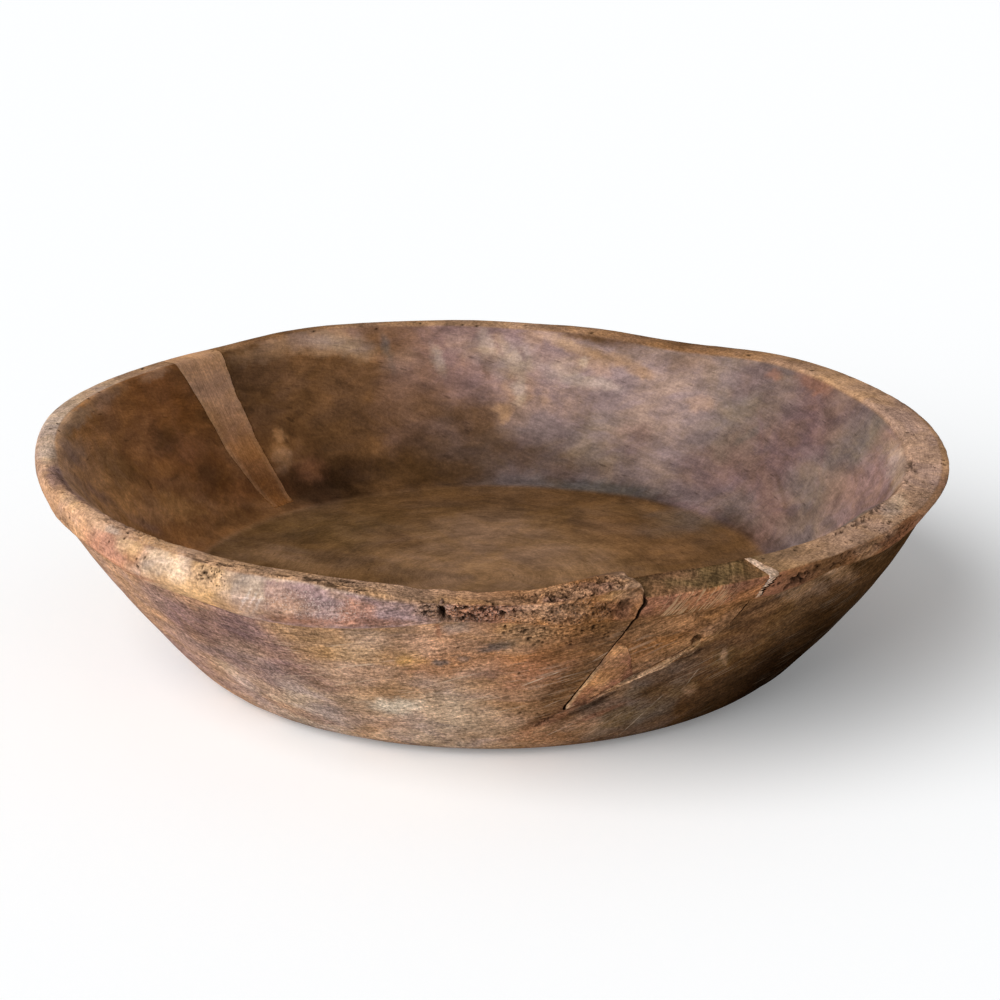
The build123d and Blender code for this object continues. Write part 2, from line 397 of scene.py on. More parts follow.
def spot(place, side, angle, height, half_along, half_up, tilt=0.0, soft=0.5):
    """Weight from 0 to 1 of a ragged oval spot. Returns the points that it touches and their weights."""
    along, up = place.offsets(side, angle, height)
    reach = 1.6 * max(half_along, half_up)
    near = np.flatnonzero((np.abs(along) < reach) & (np.abs(up) < reach) & (place.side(side) > 0.02))
    along, up = along[near], up[near]
    points = place.points[near]
    lump = max(min(half_along, half_up) * 0.8, LEAST_LUMP)
    along = along + SPOT_ROUGH * lump * rough_noise(points, lump, 2, seed=3)
    up = up + SPOT_ROUGH * lump * rough_noise(points, lump, 2, seed=5)
    along, across = turned(along, up, tilt)
    away = np.hypot(along / half_along, across / half_up)
    return near, ease(away, 1.0 + soft, 1.0 - soft) * place.side(side)[near]


# Wear of the surface

# Unevenness: height, size of its lumps
WAVER = (0.8, 85.0)  # of the whole wall and floor
WALL_RIPPLE = (0.25, (30.0, 30.0, 11.0))
HOLLOW_RIPPLE = (0.25, 22.0)
RIM_LUMPS = (0.55, (9.0, 9.0, 7.0))
EDGE_CHIPS = (1.1, 6.0)

# Dents and holes: side, angle, height, half length, half height, tilt, depth, softness
DENTS = (
    ("band", 265.0, 91.5, 1.3, 5.2, 4, 3.6, 0.25),  # black slot
    ("wall", 295.6, 66.0, 2.4, 2.1, 20, 5.0, 0.3),  # hole at the end of the filler
    ("band", 306.2, 91.0, 1.6, 3.2, 0, 2.6, 0.4),
    ("band", 307.4, 88.5, 1.8, 2.2, 30, 2.2, 0.4),
    ("band", 305.0, 87.5, 1.2, 2.0, 0, 1.8, 0.4),
    ("band", 309.0, 92.0, 1.1, 2.6, -20, 1.8, 0.4),
    ("band", 312.5, 90.5, 2.2, 1.2, 10, 1.3, 0.4),
    ("wall", 278.0, 24.5, 5.5, 0.9, 48, 1.2, 0.3),  # tail of the crack
    ("band", 284.5, 93.0, 2.5, 3.0, 0, 1.0, 0.6),
    ("band", 281.0, 88.0, 3.0, 2.0, 0, 0.9, 0.6),
    ("top", 274.5, 0.55, 4.0, 3.0, 0, 1.4, 0.6),
    ("top", 278.0, 0.7, 4.0, 2.6, 0, 1.2, 0.6),
)

# Crumbled zones: side, angle, height, half length, half height, size of the crumbs, depth, darkness of the
# painted shade in the gaps
CRUMBLED = (
    ("band", 269.2, 92.5, 15.5, 7.5, 2.1, 1.8, 1.0),  # worm-eaten
    ("band", 263.3, 93.0, 5.0, 5.5, 1.7, 1.3, 0.95),
    ("band", 268.0, 92.0, 17.0, 7.0, 1.25, 0.7, 0.9),
    ("top", 267.0, 0.92, 18.0, 3.5, 2.0, 1.2, 0.85),
    ("top", 279.5, 0.55, 22.0, 8.0, 2.4, 1.3, 0.55),  # knobbly rim
    ("top", 276.5, 0.75, 9.0, 5.0, 1.6, 1.0, 0.95),
    ("band", 280.0, 92.0, 20.0, 10.0, 3.4, 1.3, 0.4),
    ("band", 279.0, 90.0, 20.0, 9.0, 1.6, 0.5, 0.45),
    ("wall", 295.0, 76.0, 22.0, 11.0, 5.0, 1.0, 0.3),
    ("wall", 277.0, 82.0, 17.0, 5.0, 2.2, 0.6, 0.35),
    ("top", 247.0, 0.40, 48.0, 8.0, (7.0, 2.0, 1.3), 0.8, 0.85),
    ("band", 237.0, 97.0, 7.0, 6.0, 1.5, 0.5, 0.9),  # burl
    ("top", 346.0, 0.12, 26.0, 4.0, 2.6, 1.3, 0.7),
    ("top", 322.0, 0.10, 30.0, 3.0, 2.4, 0.9, 0.6),
    ("band", 307.2, 90.5, 7.0, 5.0, 3.0, 2.2, 0.95),
    ("band", 322.0, 91.0, 42.0, 6.5, 2.6, 0.9, 0.45),
    ("top", 222.0, 0.15, 26.0, 3.5, 2.2, 0.8, 0.5),
    ("band", 215.0, 92.0, 34.0, 7.0, 2.4, 0.35, 0.2),
)

# Random small holes: stretch of rows, angles from and to, share of the stretch from and to, count, radius
# from and to, depth
HOLES = (
    ("band", 190.0, 232.0, 0.25, 1.00, 14, 0.35, 0.6, 1.0),
    ("top", 186.0, 226.0, 0.05, 0.95, 16, 0.3, 0.6, 0.9),
    ("wall", 271.0, 284.0, 0.84, 0.98, 34, 0.3, 0.6, 1.0),
    ("wall", 205.0, 300.0, 0.20, 0.95, 20, 0.3, 0.45, 0.7),
    ("top", 300.0, 352.0, 0.10, 0.90, 40, 0.35, 0.7, 0.8),
    ("band", 302.0, 340.0, 0.10, 0.90, 34, 0.4, 0.9, 1.1),
    ("band", 0.0, 186.0, 0.05, 0.95, 60, 0.4, 0.8, 0.8),
    ("top", 0.0, 186.0, 0.05, 0.95, 40, 0.4, 0.8, 0.6),
    ("wall", 0.0, 200.0, 0.05, 0.95, 60, 0.4, 0.7, 0.7),
)
HOLE_WINDOW = 8  # rows and columns to each side of a hole


def crumbs(place, size, seed):
    """Share from 0 to 1 of dark gaps between crumbs, unrolled so that it does not change with depth."""
    along = np.radians(place.angle) * RIM_HALF_X
    flat = np.stack([along, WALL_LEAN * place.height, RIM_THICKNESS * place.depth * place.top], 1)
    return ease(rough_noise(flat, size, 3, seed), -0.02, 0.42)


def wear_surface(points, spans, angles):
    """Carves uneven wall, wear on the rim, dents and holes into the grid. Returns how dark each point is in
    them: painted shade in the dents, holes and gaps between crumbs.
    """
    rows, count = points.shape[:2]
    place = Place(points.reshape(-1, 3).copy())
    flat = place.points
    rough = PLAIN_ROUGHNESS + waves(place.angle, ROUGHNESS_WAVES)
    off_foot = ease(place.height, 1.0, 14.0)
    rim = place.band + place.top
    push = WAVER[0] * noise(flat, WAVER[1], 1) * off_foot * (1.0 - rim)
    push += WALL_RIPPLE[0] * rough_noise(flat, WALL_RIPPLE[1], 2, 2) * off_foot * place.wall
    push += HOLLOW_RIPPLE[0] * rough_noise(flat, HOLLOW_RIPPLE[1], 2, 4) * (place.inner + place.floor)
    push += RIM_LUMPS[0] * rim * rough * rough_noise(flat, RIM_LUMPS[1], 4, 6)
    edge = ease(np.abs(place.near_rim), 5.0, 1.0) * ease(place.depth, 0.72, 0.9) * (1.0 - place.rounding)
    chips = np.clip(rough_noise(flat, EDGE_CHIPS[1], 2, 12) + 0.1, 0.0, 1.0)
    push -= EDGE_CHIPS[0] * edge * rough * chips
    # Painted shade in the dents, crumb gaps and small holes, darkest in deep dents
    hole_shade = np.zeros(len(flat))
    for side, angle, height, half_along, half_up, tilt, depth, soft in DENTS:
        near, weight = spot(place, side, angle, height, half_along, half_up, tilt, soft)
        push[near] -= depth * weight
        hole_shade[near] = np.maximum(hole_shade[near], weight * min(depth / 2.0, 1.0))
    for side, angle, height, half_along, half_up, size, depth, dark in CRUMBLED:
        near, weight = spot(place, side, angle, height, half_along, half_up, 0.0, 0.35)
        gaps = crumbs(Place(flat[near]), size, seed=int(angle))
        push[near] -= depth * weight * (gaps - 0.25)
        hole_shade[near] = np.maximum(hole_shade[near], dark * weight * gaps)
    push, hole_shade = push.reshape(rows, count), hole_shade.reshape(rows, count)
    random = np.random.default_rng(SEED)
    for stretch, start, end, low, high, number, small, large, depth in HOLES:
        span = spans[stretch]
        length = span.stop - span.start - 1
        for _ in range(number):
            row = span.start + int(round(length * random.uniform(low, high)))
            column = int(np.searchsorted(angles, random.uniform(start, end)))
            radius = random.uniform(small, large)
            window = np.ix_(
                np.arange(max(row - HOLE_WINDOW, 0), min(row + HOLE_WINDOW + 1, rows)),
                np.arange(column - HOLE_WINDOW, column + HOLE_WINDOW + 1) % count,
            )
            away = np.linalg.norm(points[window] - points[row, column % count], axis=2)
            push[window] -= depth * random.uniform(0.6, 1.2) * np.exp(-((away / radius) ** 4))
            hole_shade[window] = np.maximum(hole_shade[window], ease(away, 1.5 * radius + 0.3, 0.6 * radius))
    points += outward(points) * push[:, :, None]
    points[:, :, 2] = np.maximum(points[:, :, 2], 0.0)
    return hole_shade


# Meshes and cuts


def new_object(name, points, faces):
    """Mesh object from points in millimetres and triangles."""
    mesh = bpy.data.meshes.new(name)
    mesh.vertices.add(len(points))
    mesh.vertices.foreach_set("co", (points * MM).astype(np.float32).ravel())
    mesh.loops.add(faces.size)
    mesh.loops.foreach_set("vertex_index", faces.astype(np.int32).ravel())
    mesh.polygons.add(len(faces))
    mesh.polygons.foreach_set("loop_start", np.arange(0, faces.size, 3, dtype=np.int32))
    mesh.update(calc_edges=True)
    made = bpy.data.objects.new(name, mesh)
    bpy.context.scene.collection.objects.link(made)
    return made


def make_wall():
    """The whole bowl, with its wear carved in, before any repair is let in, as one closed mesh."""
    angles = ring_angles()
    points, spans = level_lines(angles)
    round_corners(points, spans, angles)
    rows, count = points.shape[:2]
    middles = np.array([[0.0, 0.0, 0.0], [FLOOR_SHIFT, 0.0, FLOOR_HEIGHT]])
    plain = np.concatenate([points.reshape(-1, 3), middles])
    hole_shade = wear_surface(points, spans, angles)
    middles[1, 2] = points[-1, :, 2].mean()
    grid = np.arange(rows * count).reshape(rows, count)
    low, high = grid[:-1], grid[1:]
    low_next, high_next = np.roll(low, -1, axis=1), np.roll(high, -1, axis=1)
    foot_middle, floor_middle = rows * count, rows * count + 1
    first, last = grid[0], grid[-1]
    faces = [
        np.stack([low, low_next, high_next], -1).reshape(-1, 3),
        np.stack([low, high_next, high], -1).reshape(-1, 3),
        np.stack([np.roll(first, -1), first, np.full(count, foot_middle)], -1),
        np.stack([last, np.roll(last, -1), np.full(count, floor_middle)], -1),
    ]
    wall = new_object("wall", np.concatenate([points.reshape(-1, 3), middles]), np.concatenate(faces))
    store(wall, "plain", "FLOAT_VECTOR", plain)
    store(wall, "hole_shade", "FLOAT", np.concatenate([hole_shade.ravel(), [0.0, 0.0]]))
    gaps = np.linalg.norm(np.diff(points[:, 0], axis=0), axis=1)
    climb = np.repeat(np.concatenate([[0.0], np.cumsum(gaps)]), count)
    store(wall, "climb", "FLOAT", np.concatenate([climb, [0.0, climb[-1]]]))
    return wall


def store(piece, name, kind, values, domain="POINT"):
    """Writes an attribute of a piece's mesh."""
    attribute = piece.data.attributes.new(name, kind, domain)
    field = {"FLOAT_COLOR": "color", "FLOAT_VECTOR": "vector", "FLOAT": "value"}[kind]
    attribute.data.foreach_set(field, np.ascontiguousarray(values, np.float32).ravel())


def take(piece, name, field, width):
    """Reads an attribute of a piece's mesh and removes it."""
    attribute = piece.data.attributes[name]
    values = np.empty(len(piece.data.vertices) * width, np.float32)
    attribute.data.foreach_get(field, values)
    piece.data.attributes.remove(attribute)
    return values.reshape(-1, width).astype(float)


def place_of(piece):
    """Where the points of a cut piece lay on the plain bowl, and how dark they are."""
    plain = take(piece, "plain", "vector", 3)
    hole_shade = take(piece, "hole_shade", "value", 1)[:, 0]
    climb = take(piece, "climb", "value", 1)[:, 0]
    made_by_cut = ~plain.any(axis=1)
    plain[made_by_cut] = points_of(piece)[made_by_cut]
    place = Place(plain)
    place.climb, place.made_by_cut = climb, made_by_cut
    return place, hole_shade


def ragged(line, amount, seed, step=1.5):
    """The same line with many small steps that wander to each side, except at its ends."""
    line = np.array(line, float)
    lengths = np.concatenate([[0.0], np.cumsum(np.linalg.norm(np.diff(line[:, :2], axis=0), axis=1))])
    count = max(int(lengths[-1] / step), 2)
    at = np.linspace(0.0, lengths[-1], count + 1)
    points = np.stack([np.interp(at, lengths, column) for column in line.T], 1)
    along = np.gradient(points[:, :2], axis=0)
    along /= np.linalg.norm(along, axis=1, keepdims=True)
    spots_along = np.stack([at, np.zeros_like(at), np.zeros_like(at)], 1)
    wander = amount * rough_noise(spots_along, 9.0, 3, seed)
    wander *= ease(at, 0.0, 4.0) * ease(at, lengths[-1], lengths[-1] - 4.0)
    points[:, :2] += np.stack([-along[:, 1], along[:, 0]], 1) * wander[:, None]
    return points


def joined(*lines):
    """One closed outline from lines that follow each other."""
    outline = []
    for line in lines:
        for point in line:
            if not outline or np.linalg.norm(np.subtract(point, outline[-1])) > 1e-6:
                outline.append(tuple(point))
    if np.linalg.norm(np.subtract(outline[0], outline[-1])) < 1e-6:
        outline.pop()
    return outline


def cutter(name, angle, outline):
    """Prism through the wall at an angle, from an outline of across, height and lean of its sides."""
    turn = math.radians(angle)
    out = np.array([math.cos(turn), math.sin(turn), 0.0])
    across = np.array([-math.sin(turn), math.cos(turn), 0.0])
    flat = np.array(outline)
    lean = flat[:, 2:] if flat.shape[1] > 2 else np.zeros((len(flat), 1))
    ring = flat[:, :1] * across + flat[:, 1:2] * np.array([0.0, 0.0, 1.0])
    count = len(ring)
    ends = [ring + out * reach + lean * (reach - LEAN_FROM) * across for reach in (CUT_NEAR, CUT_FAR)]
    corners = [Vector((point[0], point[1], 0.0)) for point in outline]
    cap = np.array(tessellate_polygon([corners]))
    sides = flat[cap][:, 1:, :2] - flat[cap][:, :1, :2]
    turned = sides[:, 0, 0] * sides[:, 1, 1] - sides[:, 0, 1] * sides[:, 1, 0]
    cap[turned < 0] = cap[turned < 0][:, ::-1]
    here = np.arange(count)
    after = np.roll(here, -1)
    area = np.sum(flat[:, 0] * np.roll(flat[:, 1], -1) - flat[:, 1] * np.roll(flat[:, 0], -1))
    first = np.stack([here, after, after + count], -1)
    second = np.stack([here, after + count, here + count], -1)
    if area < 0:
        first, second = first[:, ::-1], second[:, ::-1]
    return new_object(name, np.concatenate(ends), np.concatenate([cap[:, ::-1], cap + count, first, second]))


def cut(piece, tool, operation, name):
    """New object: what the piece and the tool share, or the piece without the tool."""
    made = bpy.data.objects.new(name, piece.data)
    bpy.context.scene.collection.objects.link(made)
    step = made.modifiers.new("cut", "BOOLEAN")
    step.operation = operation
    step.solver = "MANIFOLD"
    step.object = tool
    bpy.context.view_layer.update()
    evaluated = made.evaluated_get(bpy.context.evaluated_depsgraph_get())
    mesh = bpy.data.meshes.new_from_object(evaluated)
    made.modifiers.clear()
    made.data = mesh
    mesh.name = name
    return made


def drop(*objects):
    """Deletes objects that were only needed for cutting."""
    for piece in objects:
        bpy.data.objects.remove(piece)


def points_of(piece):
    """The points of a piece, in millimetres."""
    found = np.empty(len(piece.data.vertices) * 3, np.float32)
    piece.data.vertices.foreach_get("co", found)
    return found.reshape(-1, 3).astype(float) / MM


def set_points(piece, points):
    """Moves the points of a piece."""
    piece.data.vertices.foreach_set("co", (points * MM).astype(np.float32).ravel())
    piece.data.update()


def front_outlines():
    """Outlines of the front repair with ragged sides that fit each other, and of its whole seat."""
    crack = ragged(CRACK_LINE, 0.5, 21)
    split = int(np.argmin(np.abs(crack[:, 1] - TONGUE_LINE[0][1])))
    seam = ragged(SEAM_LINE, 0.7, 22)
    meet = int(np.argmin(np.linalg.norm(seam - np.array(TONGUE_LINE[-1]), axis=1)))
    tongue_side = ragged((crack[split], *TONGUE_LINE[1:-1], seam[meet]), 0.5, 23)
    tongue_gap = tongue_side.copy()
    tongue_gap[:, 0] -= TONGUE_GAP * np.sin(np.linspace(0.0, np.pi, len(tongue_gap)))
    right = ragged(RIGHT_LINE, 0.6, 24)
    bend = int(np.argmin(np.linalg.norm(right - np.array(RIGHT_LINE[1]), axis=1)))
    run = (seam[-1] - seam[0]) / np.linalg.norm(seam[-1] - seam[0])
    filler_side = ragged(SEAM_LINE, 1.0, 25)
    share = np.linspace(0.0, 1.0, len(filler_side))
    reach = FILLER_WIDTH * ease(share, 0.0, 0.15) * (0.35 + 0.65 * ease(share, 0.2, 0.7))
    reach *= 1.0 - 0.6 * ease(share, 0.85, 1.0)
    filler_side[:, :2] += reach[:, None] * np.array([run[1], -run[0]])
    putty_side = right[bend:].copy()
    putty_side[:, 0] += PUTTY_WIDTH * (0.55 + 0.6 * ease(np.abs(putty_side[:, 1] - PUTTY_MIDDLE), 7.0, 0.0))
    putty_side[:, 0] += 0.5 * np.sin(putty_side[:, 1] * 1.1)
    putty_side[:, 2] += PUTTY_TAPER * ease(putty_side[:, 1], 88.0, 95.0)
    end_side = right[: bend + 1].copy()
    end_side[:, 0] += END_GAP * np.sin(np.linspace(0.0, np.pi, bend + 1))
    gap_side = crack.copy()
    gap_side[:, 0] -= np.interp(crack[:, 1], *np.array(CRACK_GAPS).T)
    return {
        "patch": joined(crack[: split + 1], tongue_side, seam[meet:], right),
        "tongue": joined(crack[split:], seam[: meet + 1], tongue_gap[::-1]),
        "filler": joined(seam, filler_side[::-1]),
        "putty": joined(right[bend:], putty_side[::-1]),
        "seat": joined(gap_side, filler_side, end_side, putty_side),
    }


def wedge_outline(grow):
    """Outline of the rear wedge, grown by a thickness of glue."""
    sides = []
    for line, out in ((WEDGE_LEFT, grow), (WEDGE_RIGHT, -grow)):
        sides.append([(across + out, height - grow * (height == WEDGE_LOW), 0.0) for across, height in line])
    return joined(ragged(sides[0], 0.7, 31), ragged(sides[1][::-1], 0.7, 32))


# Colours

PALETTE = {
    "white": (0.74, 0.66, 0.58),
    "pale": (0.57, 0.43, 0.33),
    "cream": (0.58, 0.37, 0.21),
    "peach": (0.50, 0.29, 0.17),
    "pink": (0.42, 0.27, 0.20),
    "tan": (0.40, 0.24, 0.14),
    "ochre": (0.46, 0.26, 0.10),
    "orange": (0.36, 0.165, 0.065),
    "rust": (0.27, 0.12, 0.065),
    "brown": (0.20, 0.10, 0.045),
    "umber": (0.11, 0.055, 0.024),
    "bark": (0.075, 0.038, 0.016),
    "dark": (0.035, 0.017, 0.008),
    "olive": (0.14, 0.085, 0.035),
    "mauve": (0.25, 0.15, 0.125),
    "plum": (0.16, 0.095, 0.085),
    "dove": (0.29, 0.205, 0.18),
    "dusk": (0.15, 0.106, 0.092),
    "grey": (0.17, 0.13, 0.105),
    "ash": (0.42, 0.32, 0.25),
    "slate": (0.10, 0.088, 0.08),
    "lilac": (0.34, 0.225, 0.20),
    "amber": (0.52, 0.27, 0.12),
    "mahogany": (0.16, 0.055, 0.016),
    "walnut": (0.14, 0.074, 0.032),
    "salmon": (0.46, 0.22, 0.135),
    "sienna": (0.26, 0.105, 0.035),
    "russet": (0.23, 0.095, 0.032),
    "pitch": (0.018, 0.008, 0.003),
}

# Tones round the bowl, blended from each angle to the next
# The near-black tones on the right of the outside wall, from about 307 to 338 degrees, are partly the wood's
# dark tone and partly painted shade of the side turned away from the key light
WALL_HIGH = (
    (200, "pink"), (222, "peach"), (232, "mauve"), (240, "mauve"), (247, "tan"), (258, "tan"),
    (267, "peach"), (275, "orange"), (281, "brown"), (290, "walnut"), (299, "brown"), (308, "walnut"),
    (316, "bark"), (335, "bark"), (0, "brown"), (90, "tan"), (170, "brown"),
)
WALL_LOW = (
    (200, "mauve"), (222, "pink"), (236, "ash"), (245, "ash"), (255, "tan"), (264, "ash"), (275, "tan"),
    (284, "brown"), (292, "grey"), (300, "umber"), (307, "bark"), (314, "dark"), (320, "pitch"),
    (338, "pitch"), (0, "umber"), (90, "brown"), (170, "tan"),
)
BAND_TONES = (
    (190, "peach"), (220, "peach"), (229, "pink"), (234, "cream"), (238, "ochre"), (241, "ash"),
    (246, "lilac"), (262, "lilac"), (267, "pink"), (271, "salmon"), (278, "orange"), (285, "brown"),
    (303, "rust"), (312, "brown"), (330, "rust"), (350, "tan"), (60, "umber"), (150, "tan"),
)
TOP_TONES = (
    (0, "pink"), (30, "tan"), (60, "brown"), (90, "tan"), (128, "brown"), (150, "tan"), (178, "pale"),
    (195, "pink"), (205, "peach"), (218, "peach"), (228, "tan"), (262, "tan"), (280, "orange"),
    (286, "tan"), (302, "olive"), (312, "tan"), (340, "pink"),
)
INNER_HIGH = (
    (0, "mauve"), (12, "grey"), (28, "plum"), (42, "grey"), (58, "dove"), (68, "dove"), (82, "lilac"),
    (100, "mauve"), (112, "brown"), (122, "brown"), (135, "umber"), (150, "sienna"), (165, "orange"),
    (182, "amber"), (200, "peach"), (222, "tan"), (270, "brown"), (320, "grey"), (340, "mauve"),
)
INNER_LOW = (
    (0, "grey"), (20, "plum"), (45, "dusk"), (88, "dusk"), (105, "umber"), (125, "umber"), (140, "brown"),
    (152, "brown"), (168, "orange"), (190, "orange"), (212, "amber"), (240, "brown"), (270, "brown"),
    (330, "plum"),
)

